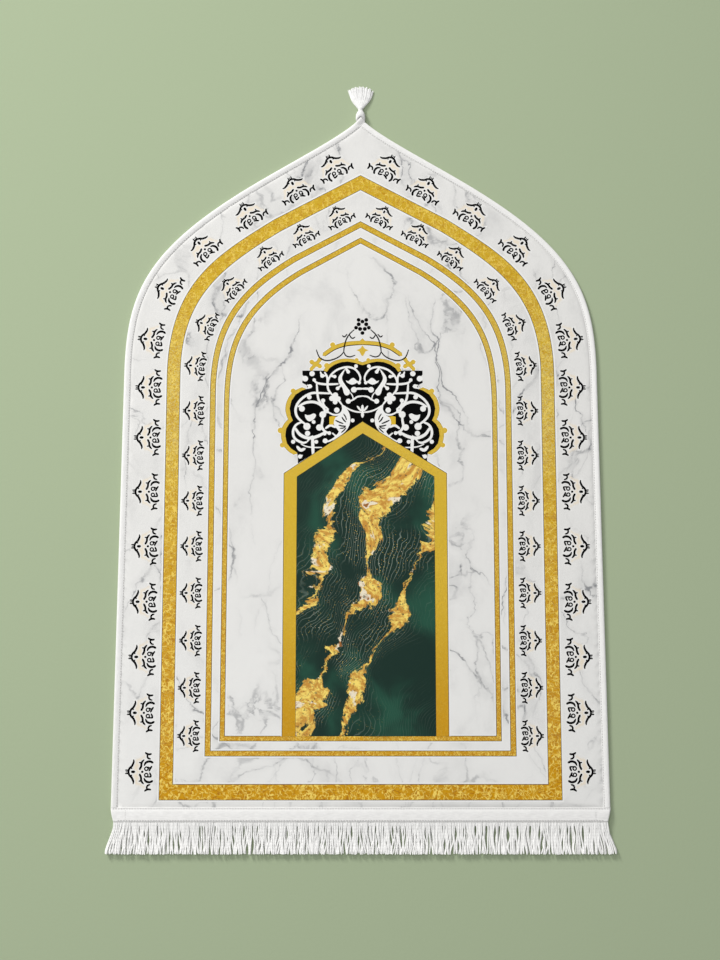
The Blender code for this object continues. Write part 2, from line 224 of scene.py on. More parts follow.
# ---- The print, charted in millimetres ----
# One edge of an arched band.
# columns: half width, y of the spring, rise of the arc, x and y of the arc's
# end, slope there in degrees, pull there, y of the apex, y of the bottom bar
BAND_EDGES = (
    (282.2, 116, 141.1, 127.9, 354, 32.7, 102.3, 422.3, -487.4),
    (263.95, 120.5, 111.6, 118.3, 337.3, 31.9, 111.4, 400.7, -466.6),
    (218.8, 92.6, 92.8, 98.7, 298, 31.5, 108.3, 351.1, -427),
    (211.8, 94.7, 104, 95.2, 291, 32.3, 85.9, 342.8, -420.5),
    (198.2, 56.8, 82.3, 89, 277.2, 31.5, 128.5, 326.1, -406.1),
    (192.1, 52.2, 85.7, 85.9, 271.1, 32, 124.7, 318.7, -400),
)
# The bands' dark and white lines; the thin bands' white line is a share.
KEYLINE = 0.75
WHITE_LINE = 2.2
FRAME_WHITE_LINE = 1.6
OPENING_KEYLINE = 0.4
THIN_BAND_WHITE = 0.8

# The niche: left x, right x, y of the shoulders, y of the apex.
NICHE_FRAME = (-110.5, 124.3, -25.9, 50.0)
NICHE_OPENING = (-91.8, 106.4, -30.6, 32.6)
NICHE_BOTTOM = -399.8
NICHE_APEX_SHIFT = -4.1
MIDDLE_X = 2.8

# Middles of the border's right-hand palmettes, from the apex down to the bar.
OUTER_PALMETTES = (
    (40, 436), (97, 402.2), (166.6, 362.8), (232.8, 311.7), (284, 245.3),
    (306.4, 172), (308.3, 100.8), (308.7, 26.8), (309.3, -52.5), (309.1, -131.5),
    (309.3, -210.9), (309.5, -289), (309.8, -367.3), (310.3, -449),
)
INNER_PALMETTES = (
    (31.6, 359.6), (84.3, 332.4), (137.5, 298.5), (190.4, 251.5), (226.8, 194.5),
    (241.3, 132.8), (242.1, 66.3), (242, 0.5), (242, -65.7), (242.1, -131.4),
    (241.9, -198.4), (241.5, -266), (242, -332.3), (241.8, -399.5),
)
INNER_PALMETTE_SCALE = 0.82
INNER_PALMETTE_WEIGHT = 1.08
PALMETTE_MIDDLE_V = 18.6
PALMETTE_CELL_V = 18.7
PALMETTE_CELL = (27.8, 20.9)
PALMETTE_CELL_POWER = 0.36
PALMETTE_CELL_SIDES = 28

# Strokes of one palmette; the first group is mirrored.
# columns: width, share of it at the start and at the end, points (along the
# border, away from the band)
PALMETTE_PAIRS = (
    (3.1, 0.9, 0.5, ((0, 34.3), (2.9, 33.8), (5.4, 32.3), (7.6, 29.9), (10.7, 28.2),
        (13.8, 27.1), (16.6, 27.4))),
    (2.1, 0.8, 0.8, ((5.5, 30.9), (4.5, 29.5))),
    (2, 1, 0.9, ((2.2, 34.2), (2.4, 38.4))),
    (3, 1, 0.5, ((3.6, 18.6), (7.6, 16.6), (11.6, 16.3), (14.4, 14.9), (16.6, 12.8))),
    (2.1, 0.8, 0.7, ((12.4, 16.5), (12.9, 19.4))),
    (3.3, 0.45, 0.95, ((8.6, 12.4), (12.2, 10.6), (14, 7.4), (14.2, 3.8), (12.7, 0.6))),
    (2.6, 0.7, 0.8, ((17.7, 3.8), (18.6, 6.6), (20.8, 8.1), (23.8, 7.9))),
    (3, 0.7, 0.8, ((26.4, 11), (24.7, 8.6), (24.1, 6), (24.6, 2.8))),
)
PALMETTE_SINGLES = (
    (1.4, 1, 0.9, ((0, 34.2), (0, 37.9))),
    (2.2, 0.8, 0.9, ((-7, 10.6), (-6.9, 7), (-7, 2.6))),
    (2.6, 0.7, 0.8, ((-6.8, 2.4), (-4.2, 3.2), (-1.5, 4.5))),
    (2.2, 0.8, 0.8, ((6.6, 7.6), (5.6, 5.6), (4.6, 4.2))),
    (2.7, 0.8, 0.8, ((1.2, 5.3), (4.6, 3.8), (7.5, 1.8))),
)
# columns: middle, middle radius of the line, width of the line
PALMETTE_RINGS = ((-4.5, 9.2, 2.4, 1.9), (4.2, 9.3, 2.4, 1.9))
# columns: middle, half length, half width
PALMETTE_DOTS = ((0, 27.8, 3.1, 2), (0, 14.9, 1.8, 1.7))
# The cream ground between the strokes, right half.
PALMETTE_GLOW = (
    (0, 33), (5, 31), (9, 27.5), (13, 26), (17, 26.3), (18.3, 21), (20, 15.5),
    (25, 11.2), (21.5, 10.6), (17, 11), (14.5, 13), (9, 14.5), (4, 13), (0, 12.5),
)
PALMETTE_SCATTER = 2.1
PALMETTE_SCATTER_BOX = ((-28, 0), (28.1, 38))
PALMETTE_SCATTER_REACH = (0.45, 4.5)
# The cream's share at its loop, the distances over which it fills out inside
# and fades outside, and how near the strokes it starts and fills out.
CREAM_SHARE = 0.25
CREAM_INSIDE, CREAM_OUTSIDE = 1.6, 3.0
CREAM_START, CREAM_REACH = 0.1, 1.3
PALMETTE_HALO = 2.0
# Points along the drawing's lines.
STROKE_STEPS = 3
LOOP_STEPS = 2
BAND_ARC, BAND_SIDE, BAND_SLOPE, BAND_BAR = 56, 40, 14, 36
NICHE_SIDE, NICHE_SLOPE = 24, 12

# The cresting above the niche, one half: distance from the middle line and
# height above the frame's apex.
CREST_FIELD = (
    (0, 84), (5.9, 85.7), (12.8, 87.9), (22, 89.4), (31.3, 88.4), (40.5, 85), (48.2, 79.6),
    (52.1, 73.9), (55.9, 75.5), (61.3, 75.8), (74.4, 75.8), (87.8, 75.8), (87.8, 69.7),
    (83.9, 65.3), (87.8, 60.3), (87.8, 57.5), (81.3, 54.1), (80.2, 48.9), (87.5, 46.6),
    (97.5, 40.3), (103.6, 30.9), (106.1, 20), (104.4, 9.1), (101.3, 2), (106.7, -3.1),
    (111, -10.5), (112.1, -20.6), (109.8, -31.6), (103.6, -39.4), (97.5, -43.3),
    (94.7, -45.6), (93.6, -53.5), (93.6, -61.3), (0, -1.1),
)
# columns: width, points
CREST_SCROLLS = (
    (3.1, ((50.5, 52.8), (50, 61), (46, 69.3), (38.3, 76.2), (29.5, 79.9), (20.5, 81.1),
        (11.6, 78.4), (5.6, 71.9), (3, 64.6), (4.8, 57.8))),
    (4.2, ((24.2, 79), (20.8, 74.2))),
    (3.4, ((46.6, 68.2), (40.8, 67))),
    (3, ((31.8, 53.4), (36.2, 49.4))),
    (2.6, ((9.4, 82.5), (10.9, 78.5))),
    (3.3, ((0, 48.9), (6.6, 48.9), (12.5, 47.8))),
    (2.6, ((0, 38), (7.4, 36.9), (12.5, 33.3), (18.6, 30))),
    (1.7, ((17.7, 43.1), (14.6, 38.4), (13.2, 32.5))),
    (2.4, ((29.4, 24.7), (20.5, 18.8), (10.5, 15), (0, 13.8))),
    (4, ((0, 23.9), (0, 15.3))),
    (2.9, ((7.4, 22.8), (2.3, 16.1))),
    (4.4, ((0, 14.1), (0, 7.2))),
    (3.3, ((55.1, 73.1), (51.3, 65.3), (51, 55.2), (49.4, 46.6), (42.8, 38.4))),
    (3.3, ((71, 61.9), (66.4, 57.5), (55.9, 55.6), (45.1, 55.5), (35.6, 56))),
    (3.3, ((66.7, 56), (65.9, 44.2), (63.9, 32.5), (58.2, 23.9), (53.6, 15.3))),
    (3.7, ((48.2, 41.9), (62.1, 42.5), (74.4, 42.2), (86.4, 35.9), (94.7, 26.6), (97.5, 16.9),
        (95.2, 7.8), (89, 0.9), (82.1, -4.2))),
    (4, ((93.2, 22.4), (83.9, 27.8), (72.8, 29.4), (63.3, 26.6), (55.9, 19.7), (54.4, 11.4))),
    (3.7, ((57.8, 11.4), (58.2, 1.3), (59.3, -7.3), (54.4, -14.4), (48.5, -16.7))),
    (2.9, ((29.4, 24.7), (28.5, 17.7), (32.8, 11.4), (41.7, 10.3), (50.5, 14.5))),
    (2.7, ((29.4, 24.7), (34.3, 30.9), (40.5, 34.9))),
    (3.7, ((87.5, 0), (96.7, -4.7), (100.9, -14.4), (98.3, -24.5), (87.5, -30.8), (81.3, -30))),
    (4.7, ((97.5, -9.7), (90.6, -19.1), (78.2, -24.1), (65.1, -21.4), (55.1, -15.9))),
    (4.7, ((72.5, -21.4), (72.1, -33.1), (71.6, -48.8))),
    (1.9, ((89, -33.1), (80.5, -36.6), (69.8, -37.8), (59, -37.8))),
    (4.7, ((94.7, -36.6), (89.8, -41.7), (83.9, -39.7))),
    (3.7, ((53.6, -9.7), (46.7, -5.3), (39.7, -8.1))),
    (2.9, ((58.2, 31.7), (55.9, 23.9), (49.7, 18.4))),
    (2.9, ((61.3, 73.9), (59, 68.1), (53.6, 68.5))),
    (2.9, ((80.2, 49.7), (74.4, 52), (80.2, 54.1))),
    (2.9, ((80.2, -29.2), (74.4, -22.2), (67.5, -23.8))),
    (3.3, ((91.3, -51.9), (87.5, -49.5))),
    (2.6, ((43.6, -16.7), (39, -22.2), (48.2, -28.4), (54.4, -28.4))),
)
CREST_COMMAS = (
    (
        (24.8, 79.6), (31.5, 71.7), (35, 66), (35.2, 60.4), (33.1, 54.8), (29.1, 49.9),
        (27.5, 43.5),
        (25.1, 39.5), (21.8, 39), (18.7, 41.5), (18.7, 45.9), (21.8, 49.9), (26.3, 56.4),
        (29.1, 61.2),
        (29.9, 66), (28, 70.9),
    ),
    (
        (83.8, 11.1), (80, 9.7), (75.7, 10.3), (71.3, 12.3), (67.6, 10.3), (69, 5.9),
        (72.8, 2.1),
        (77.7, 0.6), (81.5, 3.5), (83.5, 7.3),
    ),
    (
        (24.4, 61.5), (20.6, 60.1), (16.8, 63.6), (12.8, 65), (9, 61.5), (6.1, 59.5),
        (9, 57.1),
        (14.8, 54.8), (19.7, 56.5), (22.9, 58.6),
    ),
)
# columns: middle, radius
CREST_KNOBS = (
    (9.4, 82.5, 2.8), (4.8, 57.8, 2.6), (12.5, 47.4, 4.3), (20.6, 30.4, 3.8),
    (20.8, 74, 2.7), (40.5, 66.9, 2.6), (44.6, 34.5, 4), (39.4, 39.4, 4), (35.4, 34, 3.8),
    (39.8, 29.2, 3.6), (40, 34.5, 4.2), (70.5, 61.9, 2.6), (80.8, -6.9, 5.3), (88.2, 19.2, 4.3),
    (57.8, 10.6, 5), (52.1, 15.6, 3.1), (62.8, -8.4, 4.7), (71, -0.3, 2.8), (37.4, 17.2, 4),
    (14.3, 1.9, 2.9), (79.8, -17.2, 3.9), (100.6, -29.4, 3.1), (67.1, -29.5, 2.9),
    (54.1, -28.1, 3.7), (73.6, 71.3, 4), (83.6, 63.8, 4.3), (76.7, 52.5, 3.1),
    (77.5, 36.4, 3.4), (57.4, 31.3, 3.1), (36.2, 49.4, 2.8), (58.7, 68.1, 3.1),
    (90.6, -51.1, 3.1), (55.1, -17.5, 2.8), (48.2, -16.7, 2.8),
)
CREST_LEAF = (
    (28.2, 23.9), (20.8, 16.1), (17.7, 5.9), (18.9, -5), (24.8, -14.4), (34.3, -22.2),
    (42.8, -27.7), (39, -20.6), (34.3, -14.4), (40.5, -6.6), (41.7, -0.3), (39, 6.7),
    (32.8, 9.8), (28.5, 15.3),
)
CREST_LEAF_VEINS = (
    (2.1, ((39, 2), (33.6, -0.6), (28.2, -2.7))),
    (2.1, ((34.3, -5), (29.7, -6.3), (24.3, -6.6))),
    (2.1, ((29.7, 6.7), (27.4, 2.8), (24.3, -0.3))),
    (1.8, ((32.5, -9.7), (28.2, -9.4), (25.1, -7.8))),
    (1.8, ((27.4, 11.4), (24.8, 7.5), (23.3, 2.8))),
    (1.8, ((30.5, -15.9), (26.3, -12), (23.9, -8.9))),
)
CREST_AMBER = ((48.2, 7.5), (43.6, 8.4), (36.7, 7.2), (41.7, 2), (41.7, -4.2), (48.2, -4.2))
CREST_GOLD = (
    (6.2, ((55.9, 99.8), (49.7, 104.3), (42.8, 108.9), (35.1, 112.2), (26.6, 114.8),
        (18.9, 116.1), (9.7, 116.9), (0, 117.3))),
    (7.2, ((54.1, 74), (50.8, 78.4), (45.4, 83.2), (38.6, 87.1), (30.3, 89.3), (22, 89.9),
        (12.8, 88.7), (5.9, 86.4), (0, 84.4))),
    (8.8, ((86.5, 46.9), (96.4, 42), (104.1, 33), (107.6, 20.6), (106, 10.2), (103.2, 2.5),
        (108.8, -3.6), (113, -11.8), (113.6, -21.3), (111, -31.6), (105.2, -39.6),
        (97.6, -44.6))),
    (6.8, ((0, 117.6), (0, 120.6))),
    (4.4, ((43.2, 108.4), (43.6, 113))),
    (4.6, ((61.3, 93.2), (68.2, 85.3), (75.2, 77.8))),
    (4.8, ((75.6, 88.5), (69, 85.7), (61.3, 82.5))),
)
CREST_GOLD_KNOBS = (
    (43.6, 114.4, 3.8), (8.5, 91.6, 3), (52.1, 83.2, 4), (101, 45.4, 3.8),
    (119, -12.8, 4.3), (115, -17.6, 3.6), (116.4, -34.4, 3.6), (74.1, 88.8, 3.4),
        (68.7, 85.3, 4.2),
    (62.7, 92.5, 3.2), (62.4, 82.2, 3.1), (74.4, 78.5, 2.9),
)
CREST_STAR = ((0, 113.6), (2.9, 109.2), (5.4, 107.6), (9.1, 106.4), (4.4, 104.4), (2.8, 101),
        (1.3, 98.2), (0, 97.6))
CREST_LINES = (
    (2, ((12.2, 137), (19.2, 130.2), (24, 121.8), (26.6, 111.5), (27.4, 103.9))),
    (1.9, ((27.4, 103.9), (24.3, 98.2), (18.2, 96.3), (10.9, 98.8))),
    (2, ((27.4, 103.9), (32, 98.2), (40.5, 93.2), (51.3, 90.7), (59, 92.7), (63.9, 97.2),
        (67.5, 106.8))),
    (2, ((29.4, 128.2), (26.4, 126.2), (22.6, 130.2))),
    (2, ((19, 129.2), (16.7, 125.3), (13.9, 124.1), (11, 126))),
    (1.2, ((54.4, 97.5), (48.2, 102.1), (41.5, 106.4), (34.4, 109.6), (26.2, 112.1),
        (18.6, 113.4), (9.7, 114.2), (0, 114.5))),
)
CREST_HALO = 2.6
CREST_KEYLINE = 0.7
CREST_BEADS = (
    (5.6, 151.8, 2.9), (0, 149.3, 2.9), (5.5, 145.2, 3.1), (9.4, 140.1, 2.9),
    (3.45, 138.2, 3.1), (0.2, 132.1, 2.8),
)

# Spacing of the loose points between the drawing's lines, and the box they fill.
GRID_PITCH = 15.0
GRID_BOX = ((-340, -520), (340, 500))
ROW_PITCH = 0.87
PALMETTE_CLEARANCE = 24.0
# The triangulation keeps what the loops hold, and merges points this close.
INSIDE_LOOPS = 1
MERGE_REACH = 1e-4

# Finishes of the panel's faces, in the order of its material slots, and the
# mark of a loop that is left open for a palmette.
HOLE = -1
(MARBLE, WHITE, KEY, FOIL, GLITTER, INK, POUR, FRAME_GOLD, AMBER, BACKING) = range(10)


# ---- Properties ----
def length_property(name, description, default):
    """A length in metres that the sidebar shows in scene units."""
    return FloatProperty(
        name=name,
        description=description,
        default=default,
        min=0.0,
        precision=5,
        subtype="DISTANCE",
        unit="LENGTH",
    )


def color_property(name, description, default):
    """A linear colour."""
    return FloatVectorProperty(
        name=name,
        description=description,
        default=default,
        size=3,
        min=0.0,
        max=1.0,
        subtype="COLOR",
    )


def count_property(name, description, default, least, most):
    """A whole number between the least and the most that make sense."""
    return IntProperty(name=name, description=description, default=default, min=least, max=most)


class RugSizes(bpy.types.PropertyGroup):
    """Sizes a maker would change."""

    pad_rise: length_property("Pad rise", "Height of the padded face over its hem", 0.0009)
    pad_softness: length_property("Pad softness", "Distance over which the face rises", 0.0016)
    pad_wave: length_property("Pad unevenness", "Height of the face's slow unevenness", 0.00022)
    stitch_length: length_property("Stitch length", "Length of a seam stitch", 0.0027)
    stitch_pitch: length_property("Stitch pitch", "Distance from stitch to stitch", 0.0038)
    thread_width: length_property("Thread width", "Thickness of the sewing thread", 0.00052)
    yarn_width: length_property("Fringe yarn", "Thickness of a fringe yarn", 0.00210)
    tassel_yarn_width: length_property("Tassel yarn", "Thickness of a tassel yarn", 0.00150)
    yarns_in_lock: count_property("Yarns in a lock", "Fringe yarns tied into one lock", 10, 1, 20)
    skirt_yarns: count_property("Skirt yarns", "Yarns in a layer of the skirt", 42, 8, 80)


class RugColors(bpy.types.PropertyGroup):
    """Colours of the print, cloth, yarn and floor."""

    marble: color_property("Marble", "Ground of the marble print", (0.757, 0.750, 0.730))
    vein: color_property("Marble veins", "Grey of the marble's veins", (0.270, 0.275, 0.285))
    white_line: color_property("White line", "White parts of the print", (0.828, 0.826, 0.808))
    keyline: color_property("Keyline", "Thin dark line along the gold", (0.040, 0.032, 0.018))
    gold_light: color_property("Light gold", "Creases of the gold print", (0.920, 0.700, 0.155))
    gold_pale: color_property("Pale gold", "Grain of the gold print", (0.660, 0.560, 0.220))
    gold: color_property("Gold", "Ground of the gold print", (0.590, 0.292, 0.004))
    gold_upper: color_property("Upper gold", "Gold's ground near the point", (0.600, 0.378, 0.018))
    gold_deep: color_property("Deep gold", "Hollows of the gold print", (0.400, 0.155, 0.003))
    frame_gold: color_property("Frame gold", "Plainer gold round the niche", (0.685, 0.450, 0.032))
    ink: color_property("Ink", "Black of the ornament", (0.0016, 0.0017, 0.0018))
    cream: color_property("Cream", "Cream ground inside the palmettes", (0.800, 0.715, 0.585))
    pour_dark: color_property("Deep green", "Ground of the marbling", (0.0035, 0.0240, 0.0160))
    pour_light: color_property("Green", "Lighter streams of the marbling", (0.0120, 0.0750, 0.0450))
    pour_pale: color_property("Pale green", "Fine lines of the marbling", (0.360, 0.430, 0.360))
    pour_gold: color_property("Marbling gold", "Gold streams in the niche", (0.560, 0.270, 0.040))
    pour_cream: color_property("Marbling cream", "Pools in the gold streams", (0.830, 0.740, 0.560))
    pour_amber: color_property("Marbling amber", "Hearts of the cream pools", (0.330, 0.120, 0.025))
    cloth: color_property("White cloth", "Strips and heading tape", (0.905, 0.898, 0.882))
    # Painted shade: the sewing thread's dark grey stands for the shade in the needle holes along
    # the strips' seams.
    thread: color_property("Thread", "Sewing thread", (0.430, 0.420, 0.400))
    # Painted shade: the tape thread's dark grey stands for the shade in the stitch holes along the
    # tape's seams.
    tape_thread_painted_shade: color_property("Tape thread", "Thread of the tape", (0.430, 0.425, 0.410))
    yarn: color_property("Yarn", "Fringe yarn", (0.930, 0.924, 0.908))
    tassel: color_property("Tassel yarn", "Smooth yarn of the tassel", (0.885, 0.881, 0.872))
    backing: color_property("Backing", "Underside of the panel", (0.620, 0.610, 0.590))
    floor: color_property("Floor", "Plain pale floor", (0.382, 0.455, 0.299))


# ---- Curves and rings ----
def arc(controls, steps):
    """Points and inward normals of a cubic Bezier arc of the right-hand edge:
    the four controls weighted by the Bernstein cubics, and the derivative
    turned a quarter to the left."""
    p0, p1, p2, p3 = np.array(controls)
    t = np.asarray(steps)[:, None]
    points = (1 - t) ** 3 * p0 + 3 * t * (1 - t) ** 2 * p1 + 3 * t * t * (1 - t) * p2 + t**3 * p3
    along = (1 - t) ** 2 * (p1 - p0) + 2 * t * (1 - t) * (p2 - p1) + t * t * (p3 - p2)
    along /= np.linalg.norm(along, axis=1)[:, None]
    return points, np.column_stack((-along[:, 1], along[:, 0]))


def shoulder(steps):
    """The arc from the straight side up to the flank."""
    pull = np.array((math.cos(SHOULDER_END_SLOPE), -math.sin(SHOULDER_END_SLOPE))) * SHOULDER_PULL
    end = np.array((SHOULDER_END_X, SHOULDER_END_Y))
    spring = np.array((SPRING_HALF_WIDTH, SPRING_Y))
    return arc((spring, spring + (0, SHOULDER_RISE), end + pull, end), steps)


def flank(steps):
    """The arc from the shoulder up to the point, steepening as it goes."""
    start = np.array((SHOULDER_END_X, SHOULDER_END_Y))
    point = np.array((0.0, POINT_Y))
    out = np.array((-math.cos(SHOULDER_END_SLOPE), math.sin(SHOULDER_END_SLOPE))) * FLANK_PULL
    back = np.array((math.cos(POINT_SLOPE), -math.sin(POINT_SLOPE))) * POINT_PULL
    return arc((start, start + out, point + back, point), steps)


def moved_in(curve, inset):
    """A stretch of the edge moved inwards: each point plus inset normals."""
    points, normals = curve
    return points + inset * normals


def side_half_width(y):
    """Half the rug's width on its leaning sides, linear in y."""
    share = (y - TAPE_TOP_Y) / (SPRING_Y - TAPE_TOP_Y)
    return BASE_HALF_WIDTH + share * (SPRING_HALF_WIDTH - BASE_HALF_WIDTH)


def edge(inset, flank_share, start_y):
    """The right-hand edge moved inwards, from start_y up along the flank."""
    side_y = np.linspace(start_y, SPRING_Y, SIDE_STATIONS, endpoint=False)
    side = np.column_stack((side_half_width(side_y) - inset, side_y))
    arch = moved_in(shoulder(np.linspace(0, 1, SHOULDER_STATIONS, endpoint=False)), inset)
    rise = moved_in(flank(np.linspace(0, 1, FLANK_STATIONS) * flank_share), inset)
    return np.vstack((side, arch, rise))


def meeting(inset, other_inset):
    """The share of the flank, at this inset, where the mirrored edge at
    other_inset is crossed: the first sign change of the two heights."""
    steps = np.linspace(0, 1, SEARCH_STEPS)
    own = moved_in(flank(steps), inset)
    other = moved_in(flank(steps), other_inset)
    crossed = own[:, 1] - np.interp(own[:, 0], -other[:, 0], other[:, 1])
    first = int(np.argmax(crossed > 0))
    part = crossed[first - 1] / (crossed[first - 1] - crossed[first])
    return steps[first - 1] + part * (steps[1] - steps[0])


def panel_ring(inset, fold_inset, height, corner_across, corner_up):
    """A closed ring of the panel at even insets: the right-hand edge, its
    mirror image, and a straight cut across each lower corner."""
    low_y = TAPE_FOLD_Y + fold_inset
    right = edge(inset, meeting(inset, inset), low_y + corner_up)
    right = np.vstack(([(right[0, 0] - corner_across, low_y)], right))
    right[-1, 0] = 0.0
    ring = np.vstack((right, right[-2::-1] * (-1, 1)))
    return np.column_stack((ring, np.full(len(ring), height)))


def smooth_line(points, steps):
    """A Catmull-Rom curve through the points, steps samples to each span: each
    sample blends four neighbours with the usual cubic weights."""
    p = np.asarray(points, float)
    if len(p) < 3:
        return np.linspace(p[0], p[-1], steps + 1)
    padded = np.vstack((2 * p[0] - p[1], p, 2 * p[-1] - p[-2]))
    a, b, c, d = (padded[i : len(padded) - 3 + i, None] for i in range(4))
    t = np.linspace(0, 1, steps, endpoint=False)[None, :, None]
    square = 2 * a - 5 * b + 4 * c - d
    cube = 3 * b - a - 3 * c + d
    spans = 0.5 * (2 * b + (c - a) * t + square * t**2 + cube * t**3)
    return np.vstack((spans.reshape(-1, p.shape[1]), p[-1:]))


def smooth_loop(loop):
    """A closed smoothed loop through the points."""
    return smooth_line(loop + loop[:1], LOOP_STEPS)[:-1]


def smoothstep(share):
    """A soft step from zero to one: three squares less two cubes."""
    return share * share * (3 - 2 * share)


def bell(value, middle, reach):
    """A bell curve, one at the middle: e to minus the square of the distance
    from it, counted in reaches."""
    return np.exp(-(((value - middle) / reach) ** 2))


def pulse(angle):
    """A cosine lifted and halved, so that it runs between zero and one."""
    return 0.5 + 0.5 * np.cos(angle)


def squared_off(wave, power):
    """A wave with its sign kept and its size raised to a power, which makes a
    circle's section squarer when the power is small."""
    return np.sign(wave) * np.abs(wave) ** power


def signed_area(loop):
    """Area of a loop by the sum of cross products, positive if it turns left."""
    x, y = np.asarray(loop, float).T
    return 0.5 * float((x * np.roll(y, -1) - y * np.roll(x, -1)).sum())


def lengths_along(path):
    """Distance from the start to each point of a path."""
    return np.concatenate(([0.0], np.cumsum(np.linalg.norm(np.diff(path, axis=0), axis=1))))


def offset_loop(loop, distance):
    """A counter-clockwise loop moved outwards: each corner goes along the sum of
    its two sides' normals, over one plus their dot product, times distance."""
    side = np.roll(loop, -1, axis=0) - loop
    side /= np.linalg.norm(side, axis=1)[:, None]
    normal = np.column_stack((side[:, 1], -side[:, 0]))
    before = np.roll(normal, 1, axis=0)
    return loop + distance * (normal + before) / (1 + (normal * before).sum(1))[:, None]


def distance_to_line(points, line):
    """Least distance from each point to the stretches of a polyline: the
    projection on each stretch, held between its two ends."""
    start, stretch = line[:-1], np.diff(line, axis=0)
    off = points[:, None] - start[None]
    share = np.clip((off * stretch).sum(2) / np.maximum((stretch**2).sum(1), 1e-12), 0, 1)
    return np.linalg.norm(off - share[..., None] * stretch, axis=2).min(1)


# ---- Meshes ----
def add_piece(name, points, faces, materials, uv=None, face_finish=None):
    """Puts computed points and faces into a mesh object that rides on the frame.
    uv holds one pair for each corner, in the order of the faces."""
    mesh = bpy.data.meshes.new(name)
    mesh.from_pydata(np.asarray(points, float).tolist(), [], faces)
    for material in materials:
        mesh.materials.append(material)
    if face_finish is not None:
        mesh.polygons.foreach_set("material_index", np.asarray(face_finish, np.int32))
    if uv is not None:
        layer = mesh.uv_layers.new(name="cloth")
        layer.uv.foreach_set("vector", np.asarray(uv, np.float32).ravel())
    mesh.shade_smooth()
    if mesh.validate():
        raise RuntimeError(f"{name}: its mesh held faulty faces")
    piece = bpy.data.objects.new(name, mesh)
    bpy.context.scene.collection.objects.link(piece)
    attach(piece, BODY)
    return piece


def turn_outwards(piece):
    """Points the faces of closed pieces outwards."""
    bm = bmesh.new()
    bm.from_mesh(piece.data)
    bmesh.ops.recalc_face_normals(bm, faces=bm.faces)
    bm.to_mesh(piece.data)
    bm.free()


def tubes(points, lengths=None):
    """Faces and corner UVs of closed tubes given as an array of tubes, stations,
    corners round the section, and x, y, z.  U runs once round and V is the
    distance along; both ends are closed."""
    count, stations, sides, _ = points.shape
    tube = np.arange(count)[:, None, None] * stations * sides
    side = np.arange(sides)[None, None, :]
    near = tube + np.arange(stations - 1)[None, :, None] * sides
    far = near + sides
    follow = (side + 1) % sides
    quads = np.stack((near + side, near + follow, far + follow, far + side), axis=-1)
    if lengths is None:
        steps = np.linalg.norm(np.diff(points.mean(axis=2), axis=1), axis=2)
        lengths = np.concatenate((np.zeros((count, 1)), np.cumsum(steps, axis=1)), axis=1)
    u = np.stack((side, side + 1, side + 1, side), axis=-1) / sides + 0 * quads
    low, high = lengths[:, :-1], lengths[:, 1:]
    v = np.stack((low, low, high, high), axis=-1)[:, :, None, :] + 0 * quads
    starts = (tube[:, 0] + np.arange(sides)[::-1]).reshape(count, sides)
    ends = (tube[:, 0] + (stations - 1) * sides + np.arange(sides)).reshape(count, sides)
    faces = quads.reshape(-1, 4).tolist() + starts.tolist() + ends.tolist()
    wall = np.stack((u, v), axis=-1).reshape(-1, 2)
    cap_u = np.tile(np.arange(sides) / sides, 2 * count)
    cap_v = np.concatenate([np.repeat(lengths[:, end], sides) for end in (0, -1)])
    return faces, np.vstack((wall, np.column_stack((cap_u, cap_v))))


def add_tubes(name, points, material, lengths=None, girth=1.0):
    """One piece from an array of closed tubes.  Its map's U is multiplied by the
    girth, and lengths gives its V where it isn't the middle line's distance."""
    faces, uv = tubes(points, lengths)
    uv[:, 0] *= girth
    piece = add_piece(name, points.reshape(-1, 3), faces, (material,), uv)
    sharp_ends(piece, len(points))
    turn_outwards(piece)
    return piece


def sharp_ends(piece, count):
    """Marks the rims of the two end faces of each of count tubes, which come
    last, as sharp, so the walls are shaded right up to them."""
    mesh = piece.data
    edge_of_corner = np.empty(len(mesh.loops), np.int32)
    mesh.loops.foreach_get("edge_index", edge_of_corner)
    sharp = np.zeros(len(mesh.edges), bool)
    sharp[edge_of_corner[mesh.polygons[-2 * count].loop_start :]] = True
    mesh.edges.foreach_set("use_edge_sharp", sharp)


def carried(path, section):
    """A closed section carried along the right-hand edge: path is a function
    that gives the edge at an inset, and section holds insets and heights."""
    rails = []
    for inset, height in section:
        line = path(inset)
        rails.append(np.column_stack((line, np.full(len(line), height))))
    return np.array(rails).transpose(1, 0, 2)


def round_tubes(paths, radius, sides, flatten):
    """Round sections carried along level paths: the section stands square to the
    path's run over the floor, and its height is multiplied by flatten.  paths
    holds tubes, stations and x, y, z of the middle line; radius has one value
    for each station."""
    run = np.gradient(paths, axis=1)
    run /= np.linalg.norm(run, axis=2)[..., None]
    across = np.stack((run[..., 1], -run[..., 0], np.zeros(run.shape[:2])), axis=-1)
    across /= np.linalg.norm(across, axis=2)[..., None]
    up = np.cross(across, run)
    angle = np.linspace(0, 2 * math.pi, sides, endpoint=False)[:, None]
    r = np.broadcast_to(radius, paths.shape[:2])[..., None, None]
    circle = np.cos(angle) * across[:, :, None] + flatten * np.sin(angle) * up[:, :, None]
    return paths[:, :, None] + r * circle


